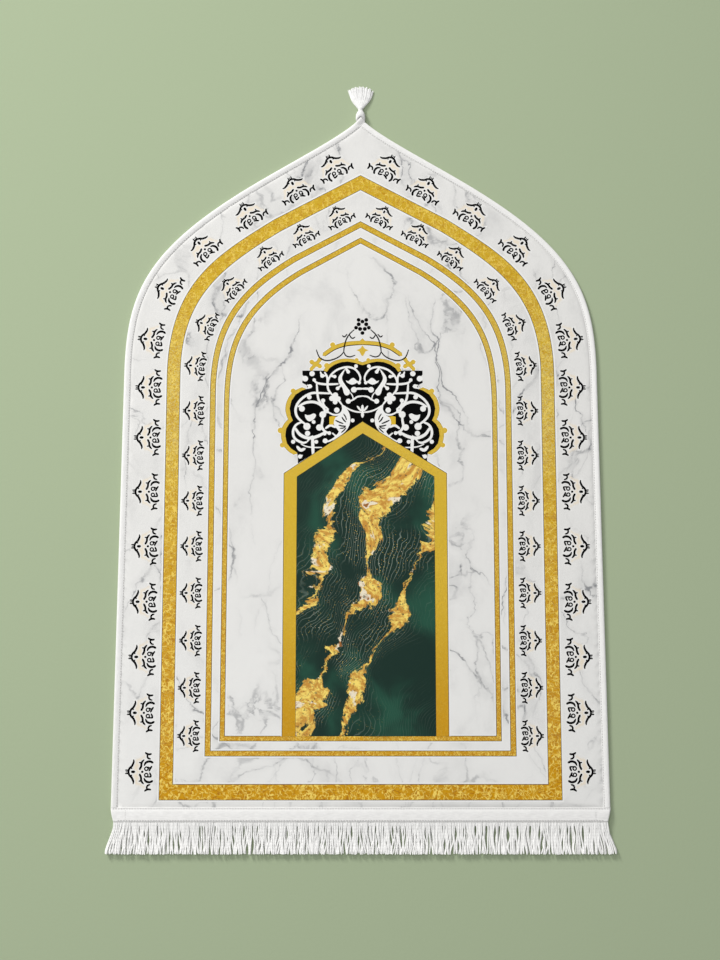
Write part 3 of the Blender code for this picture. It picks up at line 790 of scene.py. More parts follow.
# ---- The flat drawing of the print ----
class Drawing:
    """A flat drawing in millimetres: loops filled with a finish, later ones over
    earlier ones, cut into triangles that keep every loop as an edge."""

    def __init__(self):
        self.points = []
        self.count = 0
        self.loops = []
        self.finishes = []

    def fill(self, loop, finish):
        """Adds a filled loop and returns the numbers of its points.  The loop is
        listed counter-clockwise, whichever way round its points come."""
        numbers = self.scatter(loop)
        ordered = numbers if signed_area(loop) > 0 else numbers[::-1]
        self.loops.append(ordered.tolist())
        self.finishes.append(finish)
        return numbers

    def scatter(self, points):
        """Adds loose points and returns their numbers."""
        points = np.asarray(points, float)
        self.points.append(points)
        numbers = np.arange(self.count, self.count + len(points))
        self.count += len(points)
        return numbers

    def triangulate(self):
        """Points, triangles, each triangle's finish by its top loop, and for each
        added point the point that it became."""
        given = np.vstack(self.points)
        found = delaunay_2d_cdt(given.tolist(), [], self.loops, INSIDE_LOOPS, MERGE_REACH, True)
        points = np.array([p[:] for p in found[0]])
        became = np.full(len(given), -1)
        for number, sources in enumerate(found[3]):
            became[sources] = number
        triangles = np.array(found[2])
        top = np.array([max(loops, default=-1) for loops in found[5]])
        covered = top >= 0
        return points, triangles[covered], np.array(self.finishes)[top[covered]], became


def ribbon(points, width, start, end):
    """The outline of a stroke: a smoothed middle line moved both ways along its
    normals by half its width, which eases by a cube to its start and end shares,
    and one point beyond each tip."""
    line = smooth_line(points, STROKE_STEPS)
    run = np.gradient(line, axis=0)
    run /= np.linalg.norm(run, axis=1)[:, None]
    normal = np.column_stack((-run[:, 1], run[:, 0]))
    along = np.linspace(-1, 1, len(line))
    easing = (1 - start) * np.clip(-along, 0, 1) ** 3 + (1 - end) * np.clip(along, 0, 1) ** 3
    half = width / 2 * (1 - easing)
    left = line + half[:, None] * normal
    right = line - half[:, None] * normal
    tips = (line[-1] + half[-1] * run[-1], line[0] - half[0] * run[0])
    return np.vstack((right, tips[:1], left[::-1], tips[1:]))


def disc(middle_x, middle_y, radius, radius_y=None, sides=12):
    """A round or oval loop."""
    angle = np.linspace(0, 2 * math.pi, sides, endpoint=False)
    across, up = radius * np.cos(angle), (radius_y or radius) * np.sin(angle)
    return np.column_stack((middle_x + across, middle_y + up))


def mirrored(loop, middle=0.0):
    """A loop mirrored across the upright line x = middle, and turned to run the
    same way round."""
    return (np.asarray(loop, float) * (-1, 1) + (2 * middle, 0))[::-1]


def band_edge(half_width, spring_y, rise, end_x, end_y, slope, pull, apex_y, bottom_y):
    """A closed arched loop: upright sides, a cubic arc on each shoulder, straight
    slopes to the apex and a straight bottom bar."""
    slope = math.radians(slope)
    end = np.array((end_x, end_y))
    spring = np.array((half_width, spring_y))
    handle = end + pull * np.array((math.cos(slope), -math.sin(slope)))
    bend, _ = arc((spring, spring + (0, rise), handle, end), np.linspace(0, 1, BAND_ARC))
    side = np.linspace((half_width, bottom_y), spring, BAND_SIDE, endpoint=False)
    slope_up = np.linspace(end, (0.0, apex_y), BAND_SLOPE)[1:]
    right = np.vstack((side, bend, slope_up))
    left = right[-2::-1] * (-1, 1)
    bar = np.linspace(left[-1], right[0], BAND_BAR)[1:-1]
    return np.vstack((right, left, bar))


def niche_loop(left_x, right_x, shoulder_y, apex_y):
    """A gabled doorway: upright sides, straight slopes and an open foot."""
    apex = ((left_x + right_x) / 2 + NICHE_APEX_SHIFT, apex_y)
    right = np.linspace((right_x, NICHE_BOTTOM), (right_x, shoulder_y), NICHE_SIDE)
    left = np.linspace((left_x, shoulder_y), (left_x, NICHE_BOTTOM), NICHE_SIDE)
    up = np.linspace((right_x, shoulder_y), apex, NICHE_SLOPE)[1:]
    down = np.linspace(apex, (left_x, shoulder_y), NICHE_SLOPE)[1:-1]
    return np.vstack((right, up, down, left))


def hex_grid(low, high, pitch):
    """Points in rows, every other row moved along by half a pitch."""
    rows = np.arange(low[1], high[1], pitch * ROW_PITCH)
    x, y = np.meshgrid(np.arange(low[0], high[0], pitch), rows)
    x = x + pitch / 2 * (np.arange(len(x)) % 2)[:, None]
    return np.column_stack((x.ravel(), y.ravel()))


def palmette_strokes(weight):
    """The strokes and rings of one palmette, their widths multiplied by weight:
    a ring's line is given by its outer and its inner radius."""
    mirror = [(*row[:3], tuple((-u, v) for u, v in row[3])) for row in PALMETTE_PAIRS]
    strokes = [*PALMETTE_PAIRS, *PALMETTE_SINGLES, *mirror]
    strokes = [(weight * row[0], *row[1:]) for row in strokes]
    rings = []
    for u, v, radius, width in PALMETTE_RINGS:
        rings.append((u, v, radius + weight * width / 2, radius - weight * width / 2))
    return strokes, rings


def distance_to_strokes(points, strokes, rings):
    """Distance to the nearest stroke's side, negative inside it."""
    near = []
    for width, _, _, line in strokes:
        near.append(distance_to_line(points, smooth_line(line, STROKE_STEPS)) - width / 2)
    for u, v, radius, _ in rings:
        near.append(np.linalg.norm(points - (u, v), axis=1) - radius)
    for u, v, long, wide in PALMETTE_DOTS:
        near.append(np.linalg.norm((points - (u, v)) / (wide, long), axis=1) * wide - wide)
    return np.min(near, axis=0)


def palmette_cell(weight):
    """The drawing of one palmette inside an oval cell, in its own chart: the
    points, triangles and finishes, for each point its share of the cream ground
    and of the white halo that parts it from the strokes, and the rim's points.
    Cream fades with the distance out of its loop and near the strokes; the halo
    fades with the distance from them."""
    strokes, rings = palmette_strokes(weight)
    angle = np.linspace(0, 2 * math.pi, PALMETTE_CELL_SIDES, endpoint=False)
    round_rim = np.column_stack((np.cos(angle), np.sin(angle)))
    rim = squared_off(round_rim, PALMETTE_CELL_POWER) * PALMETTE_CELL + (0.0, PALMETTE_CELL_V)
    drawing = Drawing()
    drawing.fill(rim, MARBLE)
    loose = hex_grid(*PALMETTE_SCATTER_BOX, PALMETTE_SCATTER)
    reach = distance_to_strokes(loose, strokes, rings)
    least, most = PALMETTE_SCATTER_REACH
    drawing.scatter(loose[(reach > least) & (reach < most)])
    for width, start, end, points in strokes:
        drawing.fill(ribbon(points, width, start, end), INK)
    for u, v, long, wide in PALMETTE_DOTS:
        drawing.fill(disc(u, v, wide, long), INK)
    for u, v, radius, _ in rings:
        drawing.fill(disc(u, v, radius), INK)
    for u, v, _, eye in rings:
        drawing.fill(disc(u, v, eye, sides=8), MARBLE)
    points, triangles, finish, became = drawing.triangulate()
    glow = np.vstack((PALMETTE_GLOW, np.array(PALMETTE_GLOW)[-2:0:-1] * (-1, 1)))
    inside = inside_loop(points, glow)
    depth = distance_to_line(points, np.vstack((glow, glow[:1])))
    reach = distance_to_strokes(points, strokes, rings)
    cream = CREAM_SHARE + np.where(inside, depth / CREAM_INSIDE, -depth / CREAM_OUTSIDE)
    cream = np.clip(cream, 0, 1) * np.clip((reach - CREAM_START) / CREAM_REACH, 0, 1)
    halo = np.clip(1 - reach / PALMETTE_HALO, 0, 1)
    return points, triangles, finish, cream, halo, became[:PALMETTE_CELL_SIDES]


def inside_loop(points, loop):
    """Which points a loop holds: an odd number of its sides lies to their right."""
    a, b = loop, np.roll(loop, -1, axis=0)
    x, y = points[:, 0, None], points[:, 1, None]
    spans = (a[:, 1] > y) != (b[:, 1] > y)
    rise = np.where(b[:, 1] == a[:, 1], 1e-12, b[:, 1] - a[:, 1])
    crossing = (b[:, 0] - a[:, 0]) * (y - a[:, 1]) / rise + a[:, 0]
    return (spans & (x < crossing)).sum(1) % 2 == 1


def palmette_places():
    """Middle, outward direction and scale of every palmette in the borders.  Each
    looks straight away from the nearest point of the band inside it."""
    places = []
    for row, band, scale in ((OUTER_PALMETTES, 0, 1.0), (INNER_PALMETTES, 2, INNER_PALMETTE_SCALE)):
        middles = np.array(row)
        line = band_edge(*BAND_EDGES[band])
        nearest = np.linalg.norm(middles[:, None] - line[None], axis=2).argmin(1)
        run = np.roll(line, -2, axis=0) - np.roll(line, 2, axis=0)
        out = np.column_stack((run[:, 1], -run[:, 0]))[nearest]
        out /= np.linalg.norm(out, axis=1)[:, None]
        size = np.full(len(middles), scale)
        for flip in ((1, 1), (-1, 1)):
            places.append(np.column_stack((middles * flip, out * flip, size)))
    return np.vstack(places)


def placed(points, places):
    """Chart points set at each place: u runs square to the outward direction and
    v along it, both scaled, from the chart's own middle."""
    out = places[:, 2:4]
    along = np.column_stack((out[:, 1], -out[:, 0]))
    u, v = points[:, 0], points[:, 1] - PALMETTE_MIDDLE_V
    moved = u[None, :, None] * along[:, None] + v[None, :, None] * out[:, None]
    return places[:, None, :2] + places[:, 4, None, None] * moved


def draw_bands(drawing):
    """Each gold band with a dark line on both its edges and a white line beside."""
    for number, (outer, inner) in enumerate(zip(BAND_EDGES[::2], BAND_EDGES[1::2])):
        gold, share = (GLITTER, THIN_BAND_WHITE) if number else (FOIL, 1.0)
        beside = KEYLINE + share * WHITE_LINE
        outer, inner = band_edge(*outer), band_edge(*inner)
        drawing.fill(offset_loop(outer, beside), WHITE)
        drawing.fill(offset_loop(outer, KEYLINE), KEY)
        drawing.fill(outer, gold)
        drawing.fill(inner, KEY)
        drawing.fill(offset_loop(inner, -KEYLINE), WHITE)
        drawing.fill(offset_loop(inner, -beside), MARBLE)


def draw_crest(drawing):
    """The pierced black cresting with its white scrolls and gold outline.  Every
    form is drawn twice, mirrored across the niche's middle line."""
    foot = (MIDDLE_X, NICHE_FRAME[3])

    def both(loop, finish):
        """Fills a loop of the left half's chart on both sides."""
        loop = np.asarray(loop, float) + foot
        drawing.fill(mirrored(loop, MIDDLE_X), finish)
        drawing.fill(loop, finish)

    def strokes(rows, finish, taper, wider=0.0):
        """Fills a table's strokes, each tapered to the same share at both ends."""
        for width, points in rows:
            both(ribbon(points, width + wider, taper, taper), finish)

    def dots(rows, finish, wider=0.0):
        """Fills a table's dots."""
        for x, y, radius in rows:
            both(disc(x, y, radius + wider), finish)

    strokes(CREST_GOLD, WHITE, 1.0, CREST_HALO)
    dots(CREST_GOLD_KNOBS, WHITE, CREST_HALO / 2)
    strokes(CREST_GOLD, KEY, 0.95, CREST_KEYLINE)
    strokes(CREST_GOLD, FRAME_GOLD, 0.95)
    dots(CREST_GOLD_KNOBS, FRAME_GOLD)
    both(CREST_STAR, FRAME_GOLD)
    both(CREST_FIELD, INK)
    strokes(CREST_SCROLLS, WHITE, 0.7)
    for loop in CREST_COMMAS:
        both(smooth_loop(loop), WHITE)
    dots(CREST_KNOBS, WHITE)
    both(CREST_AMBER, AMBER)
    both(smooth_loop(CREST_LEAF), WHITE)
    strokes(CREST_LEAF_VEINS + CREST_LINES, INK, 0.7)
    dots(CREST_BEADS, INK)


def niche_line(outline, distance):
    """The doorway's outline moved out, but not past its straight bottom."""
    wide = offset_loop(niche_loop(*outline), distance)
    wide[:, 1] = np.maximum(wide[:, 1], NICHE_BOTTOM)
    return wide


def draw_niche(drawing):
    """The gold doorway and its marbled opening, with lines round both."""
    drawing.fill(niche_line(NICHE_FRAME, KEYLINE), KEY)
    drawing.fill(niche_loop(*NICHE_FRAME), FRAME_GOLD)
    drawing.fill(niche_line(NICHE_OPENING, OPENING_KEYLINE), KEY)
    drawing.fill(niche_loop(*NICHE_OPENING), POUR)


def face_height(points, sizes, outline):
    """Height of the padded face: flat hem, then an exponential rise over the
    distance from the binding or the tape, and slow waves in the middle."""
    from_side = distance_to_line(points, outline)
    from_fold = points[:, 1] - TAPE_FOLD_Y - FOLD_EXTRA
    inside = np.maximum(np.minimum(from_side, from_fold) - PILLOW_START, 0)
    x, y = points[:, 0], points[:, 1]
    wave = np.sin(23 * x + 9 * y + 0.6) * np.sin(17 * y - 6 * x)
    wave = wave + 0.5 * np.sin(41 * x - 33 * y + 2.0)
    settle = np.clip(inside / PILLOW_SETTLE, 0, 1)
    rise = sizes.pad_rise * (1 - np.exp(-inside / sizes.pad_softness))
    return HEM_RING[2] + rise + sizes.pad_wave * wave * settle * settle


def flat_ring(inset, fold_inset, corner):
    """A ring of the panel in the drawing's millimetres."""
    return panel_ring(inset, fold_inset, 0.0, corner, corner)[:, :2] / MM


def draw_ground(drawing, places):
    """The marble ground, and the loose points that carry its pillow and waves.
    Returns the numbers of the points on the hem."""
    rim = drawing.fill(panel_ring(*HEM_RING)[:, :2] / MM, MARBLE)
    for inset in PILLOW_INSETS:
        drawing.scatter(flat_ring(inset, inset + FOLD_EXTRA, CORNER_CUT)[::2])
    inner_ring = flat_ring(GRID_INSET, GRID_INSET + FOLD_EXTRA, CORNER_CUT)
    grid = hex_grid(*GRID_BOX, GRID_PITCH)
    reach = np.linalg.norm(grid[:, None] - places[None, :, :2], axis=2).min(1)
    drawing.scatter(grid[inside_loop(grid, inner_ring) & (reach > PALMETTE_CLEARANCE)])
    return rim


def panel_face():
    """The whole printed face, flat, in millimetres: points, triangles, finishes,
    cream and halo shares, and the numbers of the points on the hem.  The
    palmettes are drawn once for each border and set into holes at their places,
    where each cell's rim shares the hole's points."""
    drawing = Drawing()
    places = palmette_places()
    rim = draw_ground(drawing, places)
    draw_bands(drawing)
    drawing.fill(niche_line(NICHE_FRAME, KEYLINE + FRAME_WHITE_LINE), WHITE)
    draw_crest(drawing)
    draw_niche(drawing)
    groups = []
    for scale, weight in ((1.0, 1.0), (INNER_PALMETTE_SCALE, INNER_PALMETTE_WEIGHT)):
        cell = palmette_cell(weight)
        cells = placed(cell[0], places[places[:, 4] == scale])
        rims = np.array([drawing.fill(one[cell[5]], HOLE) for one in cells])
        groups.append((cell, cells, rims))
    points, triangles, finish, became = drawing.triangulate()
    kept = finish != HOLE
    bare = np.zeros(len(points))
    parts = [(points, triangles[kept], finish[kept], bare, bare)]
    first = len(points)
    for (_, corners, *shares, cell_rim), cells, rims in groups:
        numbers = first + np.arange(cells.shape[0] * cells.shape[1]).reshape(cells.shape[:2])
        first += numbers.size
        numbers[:, cell_rim] = became[rims]
        repeated = [np.tile(share, len(cells)) for share in shares]
        parts.append((cells.reshape(-1, 2), numbers[:, corners].reshape(-1, 3), *repeated))
    points, triangles, finish, cream, halo = (np.concatenate(column) for column in zip(*parts))
    used, renumbered = np.unique(triangles, return_inverse=True)
    hem = np.searchsorted(used, became[rim])
    return points[used], renumbered.reshape(-1, 3), finish, cream[used], halo[used], hem


# ---- Finishes ----
class Finish:
    """One procedural material on Blender's Principled shader, written node by
    node.  Numbers that are the same all over sit on the shader's own sockets."""

    def __init__(self, name, color, roughness, **constants):
        self.material = bpy.data.materials.new(name)
        self.material.use_nodes = True
        self.tree = self.material.node_tree
        self.shader = self.tree.nodes["Principled BSDF"]
        self.shader.inputs["Base Color"].default_value = (*color, 1.0)
        self.shader.inputs["Roughness"].default_value = roughness
        for socket, value in constants.items():
            self.shader.inputs[socket.replace("_", " ")].default_value = value
        self.place = self.node("TexCoord").outputs["Object"]

    def fill_socket(self, socket, value):
        """Links a socket to another, or sets its number, vector or colour."""
        if isinstance(value, bpy.types.NodeSocket):
            self.tree.links.new(value, socket)
        else:
            socket.default_value = value

    def node(self, kind, inputs=None, **settings):
        """A new node with its settings, its inputs linked or set."""
        node = self.tree.nodes.new("ShaderNode" + kind)
        for key, value in settings.items():
            setattr(node, key, value)
        for key, value in (inputs or {}).items():
            self.fill_socket(node.inputs[key], value)
        return node

    def math(self, operation, first, second=0.0, clamp=False):
        """One sum on two numbers."""
        inputs = {0: first, 1: second}
        return self.node("Math", inputs, operation=operation, use_clamp=clamp).outputs[0]

    def times(self, first, *others):
        """The product of two or more numbers."""
        for other in others:
            first = self.math("MULTIPLY", first, other)
        return first

    def scaled(self, value, factor, shift):
        """A number times a factor, plus a shift."""
        inputs = {0: value, 1: factor, 2: shift}
        return self.node("Math", inputs, operation="MULTIPLY_ADD").outputs[0]

    def apart(self, first, second):
        """How far two numbers are from each other."""
        return self.math("ABSOLUTE", self.math("SUBTRACT", first, second))

    def vector(self, operation, first, second):
        """One sum on two vectors."""
        key = "Scale" if operation == "SCALE" else 1
        return self.node("VectorMath", {0: first, key: second}, operation=operation).outputs[0]

    def axes(self, vector):
        """A vector's three parts."""
        return self.node("SeparateXYZ", {0: vector}).outputs

    def attribute(self, name):
        """A number that the mesh holds at each point."""
        return self.node("Attribute", attribute_name=name).outputs["Fac"]

    def cloth_map(self):
        """The piece's own map, round and along."""
        return self.node("UVMap", uv_map="cloth").outputs[0]

    def noise(self, vector, scale, detail=2.0, roughness=0.5, distortion=0.0, output="Fac"):
        """Cloudy noise; the output "Color" gives three unlike values at once."""
        inputs = {"Vector": vector, "Scale": scale, "Detail": detail}
        inputs |= {"Roughness": roughness, "Distortion": distortion}
        return self.node("TexNoise", inputs).outputs[output]

    def from_dots(self, vector, scale):
        """Distance to the nearest of many irregular dots."""
        inputs = {"Vector": vector, "Scale": scale}
        return self.node("TexVoronoi", inputs, feature="F1").outputs["Distance"]

    def warped(self, vector, scale, reach, detail=2.0):
        """Places pushed about by noise, up to half of reach each way."""
        clouds = self.noise(vector, scale, detail, output="Color")
        push = self.vector("SUBTRACT", clouds, (0.5, 0.5, 0.5))
        return self.vector("ADD", vector, self.vector("SCALE", push, reach))

    def stretched(self, vector, scale, turn=0.0):
        """Places scaled along each axis and turned about the upright."""
        inputs = {"Vector": vector, "Scale": scale, "Rotation": (0.0, 0.0, turn)}
        return self.node("Mapping", inputs).outputs[0]

    def between(self, value, low, high, low_out=0.0, high_out=1.0):
        """A soft step: low gives low_out and high gives high_out."""
        inputs = {"Value": value, "From Min": low, "From Max": high}
        inputs |= {"To Min": low_out, "To Max": high_out}
        settings = {"interpolation_type": "SMOOTHSTEP", "clamp": True}
        return self.node("MapRange", inputs, **settings).outputs[0]

    def broken(self, vector, scale, detail, low, high, roughness=0.5):
        """Soft-edged patches: a soft step on cloudy noise."""
        return self.between(self.noise(vector, scale, detail, roughness), low, high)

    def mix(self, share, first, second):
        """Two colours mixed."""
        node = self.node("Mix", data_type="RGBA")
        self.fill_socket(node.inputs[0], share)
        for key, color in ((6, first), (7, second)):
            is_socket = isinstance(color, bpy.types.NodeSocket)
            self.fill_socket(node.inputs[key], color if is_socket else (*color, 1.0))
        return node.outputs[2]

    def color(self, value):
        """Sends a colour to the shader."""
        self.tree.links.new(value, self.shader.inputs["Base Color"])

    def bump(self, height, distance):
        """Adds relief over whatever relief the shader already has."""
        inputs = {"Height": height, "Distance": distance, "Strength": 1.0}
        held = self.shader.inputs["Normal"]
        if held.is_linked:
            inputs["Normal"] = held.links[0].from_socket
        self.tree.links.new(self.node("Bump", inputs).outputs[0], held)

    def pile(self, depth):
        """Short pile: fine noise over a slower brushed one."""
        fine = self.noise(self.place, 1500.0, 3.0, 0.7)
        brushed = self.noise(self.stretched(self.place, (160.0, 90.0, 160.0), 0.4), 1.0, 4.0, 0.6)
        self.bump(self.math("ADD", fine, self.times(brushed, 1.2)), depth)

    def weave(self, vector, pitch, depth):
        """Plain weave: two crossed sines, every other thread raised."""
        axes = self.axes(vector)
        across, along = (self.math("SINE", self.times(axes[i], math.pi / pitch)) for i in (0, 1))
        self.bump(self.times(across, along), depth)


PILE_DEPTH = 0.00016
SHORT_PILE_DEPTH = 0.00010

# The marble's families of veins.
# columns: noise waves to the metre, turn in radians, strength
MARBLE_VEINS = ((2.9, 0.55, 1.0), (4.6, 0.35, 0.9), (7.5, 0.60, 0.75), (14.0, 0.75, 0.55))
VEIN_STEEPNESS = 0.43
CLOUD_GREY = 0.24
# Heights of y between which the marble and the gold change towards the straight
# end, with the shares below and above.
MARBLE_QUIET_END = (-0.46, -0.34, 0.6, 1.0)
MARBLE_WHITE_END = (-0.5, 0.05, 0.67, 0.0)
GOLD_ROUGH_END = (-0.42, 0.12, 1.0, 0.62)


def marble_print(colors):
    """White marble: a vein runs wherever a slow noise passes through its middle.
    The places are drawn out aslant and bent by three ever finer noises first, so
    the veins are long and jagged.  Each has a soft glow, a grey line and, in
    places, a dark crack, and slow noise lets them come and go over faint clouds.
    Towards the straight end the ground is a little whiter and the greys fainter.
    The palmettes' cream ground and white halo are laid over by attributes."""
    cloth = {"Sheen_Weight": 0.05, "Sheen_Roughness": 0.5, "Specular_IOR_Level": 0.2}
    finish = Finish("marble_print", colors.marble, 0.9, **cloth)
    bent = finish.warped(finish.place, 5.0, 0.11, 3.0)
    jagged = finish.warped(finish.warped(bent, 24.0, 0.028, 5.0), 120.0, 0.009, 3.0)
    drawn_out = finish.stretched(bent, (1.0, 0.6, 1.0), 0.6)
    grey = finish.times(finish.broken(drawn_out, 10.0, 6.0, 0.47, 0.74, 0.68), CLOUD_GREY)
    spots = finish.broken(jagged, 46.0, 4.0, 0.44, 0.58, 0.65)
    for number, (scale, turn, share) in enumerate(MARBLE_VEINS):
        shifted = finish.vector("ADD", jagged, (0.31 + 1.7 * number, 0.17, 0.0))
        presence = finish.noise(shifted, 5.5, 3.0, 0.6)
        run = finish.noise(finish.stretched(shifted, (1.0, 0.55, 1.0), turn), scale, 1.0, 0.4)
        away = finish.math("DIVIDE", finish.apart(run, 0.5), VEIN_STEEPNESS * scale)
        often = finish.between(presence, 0.39, 0.56)
        seldom = finish.times(finish.between(presence, 0.44, 0.58), spots)
        glow, line, crack = (0.0120, often, 0.12), (0.0028, often, 0.28), (0.0021, seldom, 0.85)
        for reach, mask, depth in (glow, line, crack):
            stroke = finish.times(finish.between(away, 0.0, reach, depth * share, 0.0), mask)
            grey = finish.math("ADD", grey, stroke, clamp=True)
    rise = finish.axes(finish.place)[1]
    grey = finish.times(grey, finish.between(rise, *MARBLE_QUIET_END))
    whiter = finish.between(rise, *MARBLE_WHITE_END)
    stone = finish.mix(grey, finish.mix(whiter, colors.marble, colors.white_line), colors.vein)
    ground = finish.mix(finish.attribute("cream"), stone, colors.cream)
    halo = finish.times(finish.attribute("halo"), 0.95)
    finish.color(finish.mix(halo, ground, colors.white_line))
    finish.pile(PILE_DEPTH)
    return finish.material


def plain_print(name, color, gloss=0.12):
    """One printed colour on the pile."""
    finish = Finish(name, color, 0.86, Specular_IOR_Level=gloss)
    finish.pile(PILE_DEPTH)
    return finish.material


def gold_print(name, colors, grounds, turn, crease, depth):
    """Crumpled gold leaf.  Light folds run where one curled noise passes through
    its middle, and dark creases where another does, each broken up by a third,
    over slow patches and under a fine pale grain.  Folds and creases are stronger
    towards the straight end, and the grain at the spring of the arch.  The ground
    goes from the first of grounds to the second between the two heights of turn,
    the higher one first.  crease is the number of folds to the metre, and depth
    is their strength."""
    upper, lower = grounds
    finish = Finish(name, lower, 0.6, Specular_IOR_Level=0.05)
    place = finish.place
    bent = finish.warped(place, crease * 0.5, 0.7 / crease)
    moved = finish.warped(place, crease * 0.6, 0.9 / crease)
    moved = finish.vector("ADD", moved, (0.23, 0.41, 0.0))
    turned = finish.stretched(bent, (1.25, 0.8, 1.0), 0.8)
    crossed = finish.stretched(moved, (0.8, 1.25, 1.0), 0.5)

    def ridge(vector, scale, low, high):
        """Lines where a noise passes through its middle."""
        curled = finish.noise(vector, scale, 1.5, 0.5, 0.4)
        return finish.between(finish.apart(curled, 0.5), low, high, 1.0, 0.0)

    rise = finish.axes(place)[1]
    rough_end = finish.times(finish.between(rise, *GOLD_ROUGH_END), depth)
    broken_folds = finish.broken(moved, crease * 0.8, 2.0, 0.36, 0.52)
    fold = finish.times(ridge(turned, crease, 0.016, 0.050), broken_folds)
    fine_fold = finish.times(ridge(crossed, crease * 0.8, 0.008, 0.032), 0.7)
    fold = finish.math("MAXIMUM", fold, fine_fold)
    broken_hollows = finish.broken(bent, crease * 0.7, 2.0, 0.37, 0.52)
    hollow = finish.times(ridge(crossed, crease * 1.1, 0.012, 0.055), broken_hollows)
    patches = finish.noise(place, crease * 0.35, 4.0, 0.65)
    patches = finish.between(patches, 0.46, 0.66, 0.0, 0.32)
    deep = finish.times(finish.math("MAXIMUM", finish.times(hollow, 0.85), patches), rough_end)
    ground = finish.mix(finish.between(rise, *turn, 1.0, 0.0), upper, lower)
    base = finish.mix(deep, ground, colors.gold_deep)
    below_spring = finish.between(rise, -0.08, 0.06, 0.24, 0.85)
    above_spring = finish.between(rise, 0.10, 0.28, math.sqrt(depth), 0.15)
    straight_end = finish.between(rise, -0.46, -0.40, 0.3, 1.0)
    pale = finish.times(below_spring, above_spring, straight_end)
    grain = finish.broken(place, crease * 4.0, 3.0, 0.38, 0.66, 0.7)
    base = finish.mix(finish.times(grain, pale), base, colors.gold_pale)
    finish.color(finish.mix(finish.times(fold, 0.88, rough_end), base, colors.gold_light))
    finish.bump(fold, 0.0002)
    finish.pile(SHORT_PILE_DEPTH)
    return finish.material


# The niche's gold streams.
# columns: level of the flow, share of the widest stream's width
GOLD_STREAMS = ((0.0, 1.0), (0.062, 0.42), (-0.066, 0.30))


def poured_print(colors):
    """Liquid marbling in deep green.  A slanting ruler over twice-warped places
    gives the flow: gold runs along three of its levels with ragged edges, pale
    threads follow its other levels near them, and cream pools lie in the gold."""
    finish = Finish("poured_print", colors.pour_dark, 0.6, Specular_IOR_Level=0.2)
    once = finish.warped(finish.place, 6.5, 0.15)
    twice = finish.warped(once, 19.0, 0.030, 3.0)
    x, y, _ = finish.axes(twice)
    flow = finish.scaled(x, 0.80, finish.scaled(y, -0.42, -0.072))
    streaks = finish.broken(once, 11.0, 3.0, 0.42, 0.68)
    ground = finish.mix(streaks, colors.pour_dark, colors.pour_light)
    unrest = finish.times(finish.noise(twice, 26.0), 9.0)
    beat = finish.math("ADD", finish.times(flow, 720.0), unrest)
    level = finish.math("ABSOLUTE", finish.math("SINE", beat))
    thread = finish.between(level, 0.0, 0.34, 1.0, 0.0)
    near = finish.between(finish.math("ABSOLUTE", flow), 0.02, 0.11, 1.0, 0.0)
    aside = finish.vector("ADD", once, (0.4, 0.1, 0.0))
    where = finish.broken(aside, 13.0, 3.0, 0.40, 0.60)
    thread = finish.times(thread, where, finish.scaled(near, 0.55, 0.08))
    ground = finish.mix(thread, ground, colors.pour_pale)
    ragged = finish.noise(twice, 85.0, 5.0, 0.7)
    ragged = finish.times(finish.math("SUBTRACT", ragged, 0.5), 0.030)
    swell = finish.between(finish.noise(once, 10.0), 0.36, 0.66, 0.002, 0.030)
    gold = 0.0
    for middle, share in GOLD_STREAMS:
        away = finish.math("ADD", finish.math("SUBTRACT", flow, middle), ragged)
        past = finish.math("SUBTRACT", finish.math("ABSOLUTE", away), finish.times(swell, share))
        stream = finish.between(past, -0.0012, 0.0008, 1.0, 0.0)
        gold = finish.math("MAXIMUM", gold, stream)
    glints = finish.broken(twice, 120.0, 4.0, 0.40, 0.62, 0.65)
    tone = finish.mix(glints, colors.pour_gold, colors.gold_light)
    pool = finish.noise(twice, 34.0, 3.0, 0.55)
    tone = finish.mix(finish.between(pool, 0.60, 0.64), tone, colors.pour_cream)
    tone = finish.mix(finish.between(pool, 0.665, 0.70), tone, colors.pour_amber)
    gold = finish.times(gold, finish.broken(finish.place, 260.0, 3.0, 0.30, 0.44, 0.7))
    dots = finish.from_dots(finish.warped(finish.place, 90.0, 0.006), 330.0)
    flecks = finish.times(finish.between(dots, 0.13, 0.20, 0.8, 0.0), where, near)
    finish.color(finish.mix(finish.math("MAXIMUM", gold, flecks), ground, tone))
    finish.pile(SHORT_PILE_DEPTH)
    return finish.material


def darkened(color, share):
    """A colour with each part multiplied by a share."""
    return tuple(share * part for part in color)


def cloth_finish(name, color, pitch):
    """White woven cloth: a plain weave along the piece's own map, faint slubs,
    and slow crumples from noise."""
    cloth = {"Sheen_Weight": 0.25, "Sheen_Roughness": 0.45, "Specular_IOR_Level": 0.2}
    finish = Finish(name, color, 0.88, **cloth)
    threads = finish.cloth_map()
    slub = finish.broken(finish.stretched(threads, (900.0, 120.0, 1.0)), 1.0, 3.0, 0.35, 0.70, 0.6)
    finish.color(finish.mix(slub, darkened(color, 0.90), color))
    finish.bump(finish.noise(finish.place, 130.0, 3.0, 0.55), 0.00020)
    finish.weave(threads, pitch, 0.00004)
    finish.bump(finish.noise(finish.place, 1900.0), 0.00005)
    return finish.material


